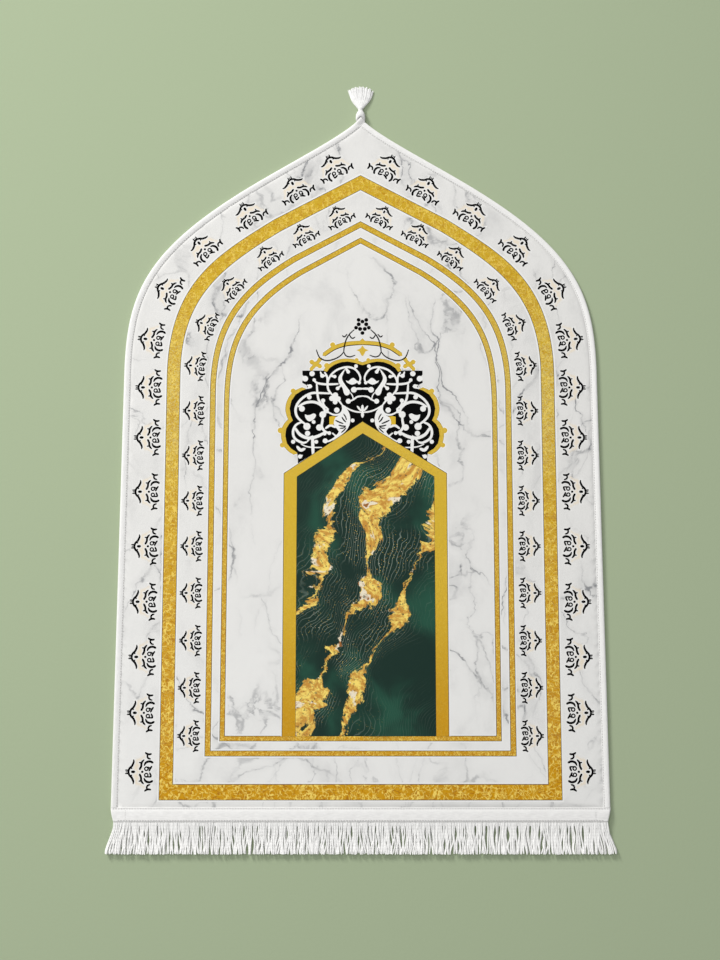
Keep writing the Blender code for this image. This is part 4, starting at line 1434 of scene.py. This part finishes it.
def yarn_finish(name, color, lines, twist_pitch, groove_shade_share, depth, soft=0.3):
    """Twisted yarn: painted shade darkens the grooves between the plies in fine lines
    that wind round each strand's own map; faint hairs and slightly uneven whiteness."""
    cloth = {"Sheen_Weight": soft, "Sheen_Roughness": 0.4, "Specular_IOR_Level": 0.2}
    finish = Finish(name, color, 0.85, **cloth)
    around, along, _ = finish.axes(finish.cloth_map())
    wound = finish.times(around, 2 * math.pi * lines)
    wound = finish.math("ADD", wound, finish.times(along, 2 * math.pi / twist_pitch))
    ply = finish.math("SINE", wound)
    # Painted shade: the twist's grooves are darkened in the colour, up to the given share.
    ply_groove_shade = finish.between(ply, -1.0, -0.2, groove_shade_share, 0.0)
    uneven = finish.between(finish.noise(finish.place, 85.0, 3.0), 0.35, 0.65, 0.0, 0.08)
    # The sum is the painted shade in the grooves plus the uneven whiteness of the yarn.
    shaded = finish.math("ADD", ply_groove_shade, uneven, clamp=True)
    finish.color(finish.mix(shaded, color, darkened(color, 0.70)))
    finish.bump(ply, depth)
    finish.bump(finish.noise(finish.place, 2600.0), 0.00006)
    return finish.material


def plain_cloth(name, color):
    """Matt backing cloth with a fine even grain."""
    finish = Finish(name, color, 0.92, Specular_IOR_Level=0.15)
    finish.weave(finish.place, 0.0009, 0.00008)
    finish.bump(finish.noise(finish.place, 700.0, 3.0), 0.0001)
    return finish.material


def floor_finish(color):
    """A plain painted floor with the faintest grain."""
    finish = Finish("floor_paint", color, 0.9, Specular_IOR_Level=0.1)
    finish.bump(finish.noise(finish.place, 260.0, 3.0), 0.00012)
    return finish.material


# ---- Operators, one for each group of pieces ----
def settings(context):
    """The sizes and colours of this scene."""
    return context.scene.rug_sizes, context.scene.rug_colors


def panel_materials(colors):
    """The panel's materials, in the order of its finishes."""
    golds, spring = (colors.gold_upper, colors.gold), (-0.40, 0.10)
    niche_golds = (colors.frame_gold, colors.gold)
    return (
        marble_print(colors),
        plain_print("white_line", colors.white_line),
        plain_print("keyline", colors.keyline),
        gold_print("gold_foil", colors, golds, spring, 132.0, 1.0),
        gold_print("gold_glitter", colors, golds, spring, 240.0, 0.85),
        plain_print("ink", colors.ink, 0.05),
        poured_print(colors),
        gold_print("gold_frame", colors, niche_golds, (-0.42, -0.15), 330.0, 0.16),
        plain_print("amber", colors.frame_gold),
        plain_cloth("backing_cloth", colors.backing),
    )


class RUG_OT_panel(bpy.types.Operator):
    """Make the printed, padded panel with its hem and underside"""

    bl_idname = "rug.panel"
    bl_label = "Printed Panel"

    def execute(self, context):
        sizes, colors = settings(context)
        flat, triangles, finish, cream, halo, hem = panel_face()
        outline = panel_ring(0.0, 0.0, 0.0, 0.0, 0.02)[:, :2]
        face = flat * MM
        height = face_height(face, sizes, outline)
        height[hem] = HEM_RING[2]
        points = [np.column_stack((face, height))]
        faces = triangles.tolist()
        finishes = finish.tolist()
        ring, count = hem, len(face)
        for row in UNDER_RINGS:
            points.append(panel_ring(*row))
            below = np.arange(count, count + len(hem))
            count += len(hem)
            quads = np.stack((ring, below, np.roll(below, -1), np.roll(ring, -1)), axis=1)
            faces += quads.tolist()
            finishes += [BACKING] * len(hem)
            ring = below
        faces.append(ring[::-1].tolist())
        finishes.append(BACKING)
        points, materials = np.vstack(points), panel_materials(colors)
        piece = add_piece("printed_panel", points, faces, materials, None, finishes)
        for name, values in (("cream", cream), ("halo", halo)):
            attribute = piece.data.attributes.new(name, "FLOAT", "POINT")
            values = np.pad(values, (0, count - len(face)))
            attribute.data.foreach_set("value", values.astype(np.float32))
        turn_outwards(piece)
        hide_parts("mat")
        return {"FINISHED"}


def strip_rings(end_inset, sizes):
    """The folded strip's section carried along the right-hand edge.  Its outside
    dips at every stitch, along the seam, by a cosine of the distance, and its
    ridge rises and falls slowly by two sines."""
    outside = smooth_line(STRIP_OUTSIDE, SECTION_STEPS)
    section = np.vstack((outside, STRIP_INSIDE))

    def path(inset):
        """The edge at an inset, up to where its end is cut."""
        return edge(inset, meeting(inset, end_inset(inset)), TAPE_TOP_Y + GAP)

    rings = carried(path, section)
    run = lengths_along(rings[:, 0, :2])
    inset, height = section.T
    on_top = (np.arange(len(section)) < len(outside)) & (height > STRIP_TOP_START)
    near_seam = bell(inset, STRIP_SEAM_INSET, STRIP_SEAM_REACH) * on_top
    ridge = bell(inset, STRIP_RIDGE_INSET, STRIP_RIDGE_REACH) * on_top
    beat = pulse(2 * math.pi * run / sizes.stitch_pitch)
    slow = np.sin(run / 0.0131) * np.sin(run / 0.0473 + 1.3)
    rings[:, :, 2] -= STRIP_SEAM_DIP * near_seam * (0.4 + 0.6 * beat)[:, None]
    rings[:, :, 2] += STRIP_RIDGE_WAVE * ridge * slow[:, None]
    rings[:, :, 2] += STRIP_RIDGE_PUFF * ridge * beat[:, None]
    return rings, run, lengths_along(section)[-1]


def rounded_end(inset):
    """How far from the middle line the left strip's rounded end is cut: a
    quarter circle."""
    back = POINT_ROUNDING - inset
    return 0.0 if back <= 0 else POINT_ROUNDING - math.sqrt(POINT_ROUNDING**2 - back**2)


def butted_end(_):
    """The right strip is cut along the left one's inner edge."""
    return STRIP_WIDTH + GAP


def lift_tab(rings):
    """Raises the upper side of the left strip's end by a smoothstep of y, where
    it is folded over once more."""
    near_tip = np.clip((rings[:, :, 1] - TAB_LOW_Y) / (POINT_TOP_Y - TAB_LOW_Y), 0, 1)
    upper = rings[:, :, 2] > TAB_UPPER_SIDE
    rings[:, :, 2] += TAB_LIFT * smoothstep(near_tip) * upper


class RUG_OT_binding(bpy.types.Operator):
    """Make the folded strips along both side edges"""

    bl_idname = "rug.binding"
    bl_label = "Binding Strips"

    def execute(self, context):
        sizes, colors = settings(context)
        material = cloth_finish("binding_cloth", colors.cloth, 0.00075)
        for side, end_inset, flip in (("left", rounded_end, -1), ("right", butted_end, 1)):
            rings, run, girth = strip_rings(end_inset, sizes)
            if side == "left":
                lift_tab(rings)
            rings = (rings * (flip, 1, 1))[None]
            name = f"strip_{side}"
            piece = add_tubes(name, rings, material, run[None], girth)
            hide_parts(f"binding_{side}")
        return {"FINISHED"}


def tape_height(up):
    """Height of the tape's outside at a distance up from its fold."""
    profile = np.array(TAPE_OUTSIDE[2:])
    return np.interp(up, profile[:, 0], profile[:, 1])


def tape_stations():
    """Places of the tape's sections as shares of its length, closer together at
    its rolled ends."""
    start = np.array((0.0, 0.15, 0.4, 0.7)) * TAPE_ROLL
    near_end = np.concatenate((start, np.arange(TAPE_ROLL, 0.0125, 0.0006)))
    far_start = TAPE_LENGTH - TAPE_MIDDLE_START
    middle = np.linspace(TAPE_MIDDLE_START, far_start, TAPE_MIDDLE_STATIONS)
    return np.concatenate((near_end, middle, TAPE_LENGTH - near_end[::-1])) / TAPE_LENGTH


def tape_rings(sizes):
    """The folded tape's section carried across the straight end.  Its ends draw in
    towards the fold and roll down by a quarter circle, it climbs by a square onto
    the strips, its crown waves by sines, and it dips along its seams, deeper at
    each stitch by a cosine."""
    outside = smooth_line(TAPE_OUTSIDE, SECTION_STEPS)
    section = np.vstack((outside, TAPE_INSIDE))
    up, height = section.T
    on_top = (np.arange(len(section)) < len(outside)) & (height > TAPE_TOP_START)
    share = tape_stations()
    from_top = np.clip(1 - up / TAPE_WIDTH, 0, 1)
    half = side_half_width(TAPE_TOP_Y) - TAPE_END_TURN * from_top**1.5
    x = half[None] * (2 * share[:, None] - 1)
    y = np.broadcast_to(TAPE_FOLD_Y + up, x.shape)
    from_end = np.clip(np.minimum(share, 1 - share) * TAPE_LENGTH / TAPE_ROLL, 0, 1)
    roll = np.sqrt(np.clip(1 - (1 - from_end) ** 2, 0, 1))
    z = np.broadcast_to(height, x.shape).copy()
    lifted = np.where(on_top, height - TAPE_ROLL_HEIGHT, 0.0)
    z -= lifted[None] * (1 - roll[:, None])
    strip_top = np.interp(half[None] - np.abs(x), *np.array(STRIP_OUTSIDE[2:]).T) + GAP
    onto_strip = np.clip((up - TAPE_LAP_START) / TAPE_LAP_REACH, 0, 1) ** 2 * on_top
    z += onto_strip * np.maximum(strip_top - z, 0)
    along = x[:, :1]
    crown = bell(up, TAPE_CROWN_UP, TAPE_CROWN_REACH) * on_top
    slow = np.sin(along / 0.0071 + 1.1) * np.sin(along / 0.0322)
    z += crown * (TAPE_CROWN_WAVE * slow + TAPE_CROWN_RIPPLE * np.sin(along / 0.0028))
    beat = pulse(2 * math.pi * along / sizes.stitch_pitch)
    near_seam = bell(up, TAPE_SEAM_UP, TAPE_SEAM_REACH) * on_top
    z -= TAPE_SEAM_DIP * near_seam * (0.4 + 0.6 * beat)
    z -= TAPE_CROSS_DIP * bell(np.abs(along), TAPE_CROSS_SEAM_X, TAPE_CROSS_REACH) * crown
    rings = np.stack((x, y, z), axis=-1)
    return rings, lengths_along(rings[:, len(outside) // 2]), lengths_along(section)[-1]


class RUG_OT_tape(bpy.types.Operator):
    """Make the folded heading tape across the straight end"""

    bl_idname = "rug.tape"
    bl_label = "Heading Tape"

    def execute(self, context):
        sizes, colors = settings(context)
        rings, run, girth = tape_rings(sizes)
        material = cloth_finish("heading_cloth", colors.cloth, 0.0008)
        piece = add_tubes("tape", rings[None], material, run[None], girth)
        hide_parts("heading_tape")
        return {"FINISHED"}


def stitch_tubes(middles, directions, length, width):
    """Sewn stitches: short rounded tubes that dive at both ends.  The middle line
    is level but for a half-sine hump of the thread's width."""
    share = np.array((-1.0, -0.8, -0.4, 0.0, 0.4, 0.8, 1.0))
    run = np.pad(directions, ((0, 0), (0, 1)))[:, None]
    paths = middles[:, None] + run * share[None, :, None] * length / 2
    paths[..., 2] += width * (0.42 * np.cos(share * math.pi / 2) - 0.22)
    radius = width / 2 * np.array((0.45, 0.85, 1.0, 1.05, 1.0, 0.85, 0.45))
    return round_tubes(paths, radius[None], 6, 0.8)


def strip_stitch_places(sizes):
    """Middles and directions of the right-hand strip's stitches, at even steps
    along the edge."""
    last_inset = meeting(STRIP_SEAM_INSET, STRIP_WIDTH)
    path = edge(STRIP_SEAM_INSET, last_inset, TAPE_TOP_Y + GAP)
    run = lengths_along(path)
    pitch = sizes.stitch_pitch
    at = np.arange(0.5 * pitch, run[-1] - pitch, pitch)
    spots, ahead = (
        np.column_stack([np.interp(at + step, run, path[:, axis]) for axis in (0, 1)])
        for step in (0.0, 0.0005)
    )
    lean = (ahead - spots) / np.linalg.norm(ahead - spots, axis=1)[:, None]
    top = np.interp(STRIP_SEAM_INSET, *np.array(STRIP_OUTSIDE[4:]).T)
    return np.column_stack((spots, np.full(len(at), top))), lean


def tape_stitches(sizes):
    """The tape's stitches: one row along its upper edge, one along its fold, and
    a short upright row near each end."""
    half = side_half_width(TAPE_TOP_Y) - TAPE_END_TURN
    x = np.arange(-half, half, sizes.stitch_pitch)
    level = []
    for up, row_x in ((TAPE_SEAM_UP, x), (TAPE_FOLD_SEAM_UP, x[2:-2])):
        place = np.full((len(row_x), 2), (TAPE_FOLD_Y + up, tape_height(up)))
        level.append(np.column_stack((row_x, place)))
    up = np.arange(0.0035, 0.0165, CROSS_STITCH_PITCH)
    upright = []
    for side in (-1, 1):
        cross_x = np.full(len(up), side * TAPE_CROSS_SEAM_X)
        upright.append(np.column_stack((cross_x, TAPE_FOLD_Y + up, tape_height(up) - 0.0001)))
    rows = (
        (np.vstack(level), (1.0, 0.0), sizes.stitch_length, 1.3 * sizes.thread_width),
        (np.vstack(upright), (0.0, 1.0), CROSS_STITCH_LENGTH, sizes.thread_width),
    )
    return np.vstack([
        stitch_tubes(places, np.tile(run, (len(places), 1)), length, width)
        for places, run, length, width in rows
    ])


class RUG_OT_seams(bpy.types.Operator):
    """Make the stitches along the strips and the tape"""

    bl_idname = "rug.seams"
    bl_label = "Seam Stitches"

    def execute(self, context):
        sizes, colors = settings(context)
        middles, lean = strip_stitch_places(sizes)
        # The strips' thread is dark grey as painted shade of the needle holes along the seams.
        thread = yarn_finish("sewing_thread_painted_shade", colors.thread, 2, 0.0011, 0.45, 0.00006, 0.1)
        for side, flip in (("left", -1), ("right", 1)):
            places = middles * (flip, 1, 1), lean * (flip, 1)
            stitches = stitch_tubes(*places, sizes.stitch_length, sizes.thread_width)
            add_tubes(f"strip_stitches_{side}", stitches, thread)
        # The tape's thread is dark grey as painted shade of the stitch holes along its seams.
        thread = yarn_finish("tape_thread_painted_shade", colors.tape_thread_painted_shade, 2, 0.0011, 0.25, 0.00006, 0.1)
        add_tubes("tape_stitches", tape_stitches(sizes), thread)
        return {"FINISHED"}


def lock_cuts(rng):
    """Where one lock ends and the next begins: even steps, narrower towards the
    corners by an exponential, each cut shifted at random."""
    from_end = np.minimum(np.arange(LOCK_COUNT), np.arange(LOCK_COUNT)[::-1])
    widths = 1 - CORNER_LOCK_NARROWING * np.exp(-from_end / 1.4)
    cuts = np.concatenate(((0.0,), np.cumsum(widths)))
    cuts = HEADER_HALF_WIDTH * (2 * cuts / cuts[-1] - 1)
    cuts[1:-1] += rng.uniform(-LOCK_SHIFT, LOCK_SHIFT, LOCK_COUNT - 1) * np.diff(cuts)[1:]
    return cuts


def fringe_paths(sizes, rng):
    """Middle lines of the fringe yarns.  Each lock narrows by a sine between its
    root and its tip and ends a little wider.  Its yarns draw together in clumps
    by a sine of the distance and waver by sines of their own, and their tips
    stray and curl up with its square, while the roots come down off the header.
    The corner locks fan out in step with the nearness of the corner."""
    yarns = sizes.yarns_in_lock
    cuts = lock_cuts(rng)
    lock = np.repeat(np.arange(LOCK_COUNT), yarns)
    lock_width = np.diff(cuts)[lock]
    within = np.tile((np.arange(yarns) + 0.5) / yarns - 0.5, LOCK_COUNT)
    count = len(lock)
    middle = ((cuts[1:] + cuts[:-1]) / 2)[lock]
    root_x = middle + within * lock_width * 0.98
    tip_shift = rng.uniform(-0.0014, 0.0014, LOCK_COUNT)[lock]
    waist = rng.uniform(0.70, 0.98, LOCK_COUNT)[lock]
    spread = rng.uniform(0.98, 1.14, LOCK_COUNT)[lock]
    share = np.linspace(0, 1, FRINGE_STATIONS)[None, :]
    ease = smoothstep(share)
    narrowing = (waist - 1)[:, None] * np.sin(math.pi * share**0.8) ** 1.3
    gather = 1 + narrowing + (spread - 1)[:, None] * ease
    edge_gap = HEADER_HALF_WIDTH - np.abs(root_x)
    splay = np.sign(root_x) * CORNER_SPLAY * np.clip(1 - edge_gap / CORNER_REACH, 0, 1)
    sideways = (splay + tip_shift * (edge_gap > CORNER_REACH / 2))[:, None] * ease
    x = middle[:, None] + (root_x - middle)[:, None] * gather + sideways
    clump = within + rng.uniform(-0.12, 0.12, count)
    clump = np.round(clump * CLUMPS_IN_LOCK) / CLUMPS_IN_LOCK
    cling = rng.uniform(0.05, 0.35, count) * (clump - within) * lock_width
    x += cling[:, None] * np.sin(math.pi * share**0.9)
    waver = rng.uniform(3, 9, count)[:, None] * share
    waver = np.sin(waver + rng.uniform(0, 6.28, count)[:, None])
    x += rng.uniform(0.0004, 0.0017, count)[:, None] * np.clip(share * 2.5, 0, 1) * waver
    x += rng.normal(0, 0.0010, count)[:, None] * share**2
    ragged = np.clip(np.abs(rng.normal(0, 0.0007, count)), 0, 0.0018)
    ragged = ragged + 0.0006 * np.abs(within * 2) ** 3 - 0.0009
    y = FRINGE_ROOT_Y + (FRINGE_END_Y + ragged - FRINGE_ROOT_Y)[:, None] * share
    layer = rng.integers(0, 2, count)[:, None]
    radius = sizes.yarn_width / 2
    hump = pulse(2 * math.pi * within)[:, None]
    z = radius + FRINGE_ROOT_RISE * (1 - share) ** 1.5
    z = z + 0.35 * (layer + hump) * radius * (1 - 0.5 * share)
    curl = FRINGE_TIP_CURL + rng.uniform(-0.0008, 0.0008, count)
    z = z + curl[:, None] * share**2
    return np.stack((np.clip(x, -FRINGE_HALF_WIDTH, FRINGE_HALF_WIDTH), y, z), axis=-1)


def under_layer(paths, sizes, rng):
    """A thinner second layer on the floor: some of the yarns again, and all of
    those at the corners, moved a little aside."""
    corner = np.abs(paths[:, 0, 0]) > HEADER_HALF_WIDTH - CORNER_REACH
    under = paths[corner | (rng.random(len(paths)) < UNDER_LAYER_SHARE)]
    under[..., 0] += rng.normal(0.0011, 0.0005, len(under))[:, None]
    under[..., 2] = sizes.yarn_width / 2
    return under


def header_rings():
    """The woven header: a rounded rectangle, from a squared-off circle, carried
    across the straight end, with beads from the size of an uneven sine."""
    x = np.linspace(-HEADER_HALF_WIDTH, HEADER_HALF_WIDTH, HEADER_STATIONS)
    angle = np.linspace(0, 2 * math.pi, HEADER_SIDES, endpoint=False)
    across = -(HEADER_DEPTH / 2) * squared_off(np.cos(angle), 0.22)
    lift = 0.5 + 0.5 * squared_off(np.sin(angle), 0.3)
    uneven = 0.9 * np.sin(x / 0.011)
    bead = np.abs(np.sin(math.pi * x / HEADER_BEAD_PITCH + uneven))[:, None]
    middle_y = TAPE_FOLD_Y - GAP / 2 - HEADER_DEPTH / 2
    y = middle_y + across[None] * (0.93 + 0.07 * bead)
    z = lift[None] * (HEADER_HEIGHT + HEADER_BEAD * bead) * (1 - 0.08 * np.cos(angle))[None]
    return np.stack((np.broadcast_to(x[:, None], y.shape), y, z), axis=-1)


class RUG_OT_fringe(bpy.types.Operator):
    """Make the woven header and the locks of cut yarn"""

    bl_idname = "rug.fringe"
    bl_label = "Fringe"

    def execute(self, context):
        sizes, colors = settings(context)
        rng = np.random.default_rng(FRINGE_SEED)
        paths = fringe_paths(sizes, rng)
        paths = np.vstack((paths, under_layer(paths, sizes, rng)))
        phase = rng.uniform(0, 6.28, len(paths))[:, None]
        swell = 1 + 0.10 * np.sin(phase + np.linspace(0, 9, FRINGE_STATIONS))
        taper = np.concatenate((np.ones(FRINGE_STATIONS - 2), (0.95, 0.7)))
        walls = round_tubes(paths, sizes.yarn_width / 2 * swell * taper, YARN_SIDES, FRINGE_FLATTEN)
        material = yarn_finish("fringe_yarn", colors.yarn, 2, 0.0046, 0.05, 0.00004)
        yarns = add_tubes("fringe_yarns", walls, material)
        rings = header_rings()[None]
        run = rings[:, :, 0, 0] + HEADER_HALF_WIDTH
        header = add_tubes("fringe_header", rings, material, run, HEADER_GIRTH)
        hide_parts("fringe")
        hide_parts("fringe")
        return {"FINISHED"}


def notch_y(x):
    """How far up the rug's rounded point reaches at each x."""
    points, _ = flank(np.linspace(0, 1, SEARCH_STEPS))
    top = np.interp(np.abs(x), *points[::-1].T)
    return np.minimum(top, POINT_TOP_Y) + NOTCH_GAP


def head_rings():
    """The tassel's head: sections whose width and height come from its table,
    gathered by a cosine round them into leaning strands, with the first ones
    following the rug's point.  Also gives the distance along."""
    rows = smooth_line(TASSEL_HEAD, 5)
    y, follow, half, low, high = (column[:, None] for column in rows.T)
    angle = np.linspace(0, 2 * math.pi, HEAD_SIDES, endpoint=False)[None, :]
    lean = 1.2 * np.sin((y - POINT_TOP_Y) * 160)
    grow = 1 - HEAD_GROOVE * (1 - pulse(angle * HEAD_STRANDS + lean))
    x = half * np.cos(angle) * grow
    waist = low + (high - low) * HEAD_WAIST
    above = np.sin(angle) > 0
    z = waist + np.where(above, (high - waist) * grow, waist - low) * np.sin(angle)
    follow = np.clip(follow, 0, 1)
    rings = np.stack((x, (1 - follow) * y + follow * notch_y(x), z), axis=-1)
    return rings, lengths_along(np.column_stack((rows[:, 0], rows[:, 2])))


def skirt_paths(sizes, rng):
    """Middle lines of the skirt's yarns, layer on layer.  They fan out by the
    table's half widths, lie under a dome from a circle's height, stray with the
    square of the distance, and end ragged by a sine and by chance."""
    skirt_y, fall, spread, thick = smooth_line(SKIRT_STATIONS, 3).T
    share = np.linspace(0, 1, len(skirt_y))
    radius = sizes.tassel_yarn_width / 2
    layers = []
    for layer in range(SKIRT_LAYERS):
        count = sizes.skirt_yarns - 2 * layer
        across = np.linspace(-1, 1, count) * (1 - 0.07 * layer) + rng.normal(0, 0.012, count)
        across = np.clip(across, -1, 1)[:, None]
        ragged = np.abs(rng.normal(0, 0.0007, count))[:, None]
        ragged = ragged + 0.0026 * np.abs(np.sin(11 * across + 0.9)) ** 2
        x = across * spread + rng.normal(0, 0.0006, count)[:, None] * share**2
        x = x + 0.0003 * share * np.sin(9 * share + rng.uniform(0, 6.28, count)[:, None])
        y = skirt_y - fall * across**2 - (ragged - 0.0008) * share
        dome = np.sqrt(np.clip(1 - (0.9 * across) ** 2, 0, 1))
        level = (layer + 0.5) / SKIRT_LAYERS
        z = radius + (thick - 2 * radius) * level * (0.35 + 0.65 * dome)
        z = z + rng.uniform(0, 0.0003, count)[:, None] * share
        layers.append(np.stack((x, np.minimum(y, SKIRT_END_Y), z), axis=-1))
    return np.vstack(layers)


class RUG_OT_tassel(bpy.types.Operator):
    """Make the tassel's head and its skirt of fine yarns"""

    bl_idname = "rug.tassel"
    bl_label = "Tassel"

    def execute(self, context):
        sizes, colors = settings(context)
        rings, run = head_rings()
        material = yarn_finish("tassel_head_yarn", colors.tassel, 44, 0.2, 0.25, 0.00008, 0.4)
        head = add_tubes("tassel_head", rings[None], material, run[None])
        paths = skirt_paths(sizes, np.random.default_rng(TASSEL_SEED))
        middle = np.ones(paths.shape[1] - 8)
        taper = np.concatenate((np.linspace(0.75, 1.0, 6), middle, (0.92, 0.6)))
        radius = sizes.tassel_yarn_width / 2 * taper[None]
        walls = round_tubes(paths, radius, YARN_SIDES, SKIRT_FLATTEN)
        material = yarn_finish("tassel_yarn", colors.tassel, 1, 0.0110, 0.08, 0.00004, 0.4)
        skirt = add_tubes("tassel_skirt", walls, material)
        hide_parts("tassel")
        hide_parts("tassel")
        return {"FINISHED"}


class RUG_OT_declare(bpy.types.Operator):
    """Work out the ring of the panel's hem, and nothing more"""

    bl_idname = "rug.declare"
    bl_label = "State Cloth Sizes"

    def execute(self, context):
        ring = panel_ring(*HEM_RING)[:, :2]
        return {"FINISHED"}


# ---- The stage ----
CAMERA_HEIGHT = 1.9150
CAMERA_X = -0.0008
CAMERA_Y = -0.2904
CAMERA_TILT = math.radians(7.6)
CAMERA_LENS = 50.0
CAMERA_SENSOR = 36.0
FLOOR_REACH = 6.0
# columns: name, place, the point that it faces, side, power, colour
LAMPS = (
    ("key_lamp", (-3.7, 4.7, 2.75), (0.0, 0.0, 0.0), 1.5, 402.0, (1.0, 0.99, 0.97)),
    ("fill_lamp", (-0.8, 0.18, 2.2), (-0.8, 0.18, 0.0), 1.8, 16.2, (1.0, 1.0, 1.0)),
)
WORLD_COLOR = (0.99, 0.995, 1.0, 1.0)
WORLD_STRENGTH = 0.405


def add_lamp(name, place, aim, size, energy, color):
    """A square soft lamp that faces the aimed-at point."""
    light = bpy.data.lights.new(name, "AREA")
    light.shape = "SQUARE"
    light.size = size
    light.energy = energy
    light.color = color
    lamp = bpy.data.objects.new(name, light)
    lamp.location = place
    toward = Vector(aim) - Vector(place)
    lamp.rotation_euler = toward.to_track_quat("-Z", "Y").to_euler()
    bpy.context.scene.collection.objects.link(lamp)


class RUG_OT_stage(bpy.types.Operator):
    """Make the plain floor, the soft light and the camera"""

    bl_idname = "rug.stage"
    bl_label = "Stage"

    def execute(self, context):
        _, colors = settings(context)
        scene = context.scene
        mesh = bpy.data.meshes.new("floor")
        signs = ((-1, -1), (1, -1), (1, 1), (-1, 1))
        corners = [(FLOOR_REACH * x, FLOOR_REACH * y, 0.0) for x, y in signs]
        mesh.from_pydata(corners, [], [(0, 1, 2, 3)])
        mesh.materials.append(floor_finish(colors.floor))
        floor = bpy.data.objects.new("floor", mesh)
        scene.collection.objects.link(floor)
        for row in LAMPS:
            add_lamp(*row)
        world = bpy.data.worlds.new("studio")
        world.use_nodes = True
        background = world.node_tree.nodes["Background"]
        background.inputs["Color"].default_value = WORLD_COLOR
        background.inputs["Strength"].default_value = WORLD_STRENGTH
        scene.world = world
        scene.view_settings.view_transform = "Standard"
        camera_data = bpy.data.cameras.new("camera")
        camera_data.lens = CAMERA_LENS
        camera_data.sensor_width = CAMERA_SENSOR
        camera = bpy.data.objects.new("camera", camera_data)
        camera.location = (CAMERA_X, CAMERA_Y, CAMERA_HEIGHT)
        camera.rotation_euler = (CAMERA_TILT, 0.0, 0.0)
        scene.collection.objects.link(camera)
        scene.camera = camera
        return {"FINISHED"}


class RUG_PT_sidebar(bpy.types.Panel):
    """The rug's steps and settings in the 3D view's sidebar"""

    bl_idname = "RUG_PT_sidebar"
    bl_label = "Prayer Rug"
    bl_space_type = "VIEW_3D"
    bl_region_type = "UI"
    bl_category = "Rug"

    def draw(self, context):
        for step in STEPS:
            self.layout.operator(step.bl_idname)
        for group in settings(context):
            box = self.layout.box()
            for name in group.__annotations__:
                box.prop(group, name)


STEPS = (
    RUG_OT_panel,
    RUG_OT_binding,
    RUG_OT_tape,
    RUG_OT_seams,
    RUG_OT_fringe,
    RUG_OT_tassel,
    RUG_OT_declare,
    RUG_OT_stage,
)
CLASSES = (RugSizes, RugColors, *STEPS, RUG_PT_sidebar)


def register():
    """Registers the classes and hangs the settings on the scene."""
    for cls in CLASSES:
        bpy.utils.register_class(cls)
    bpy.types.Scene.rug_sizes = PointerProperty(type=RugSizes)
    bpy.types.Scene.rug_colors = PointerProperty(type=RugColors)


def unregister():
    """Takes the settings and classes away again."""
    del bpy.types.Scene.rug_colors
    del bpy.types.Scene.rug_sizes
    for cls in reversed(CLASSES):
        bpy.utils.unregister_class(cls)


def main():
    """Builds everything in order."""
    register()
    for step in STEPS:
        group, name = step.bl_idname.split(".")
        getattr(getattr(bpy.ops, group), name)()


if __name__ == "__main__":
    main()
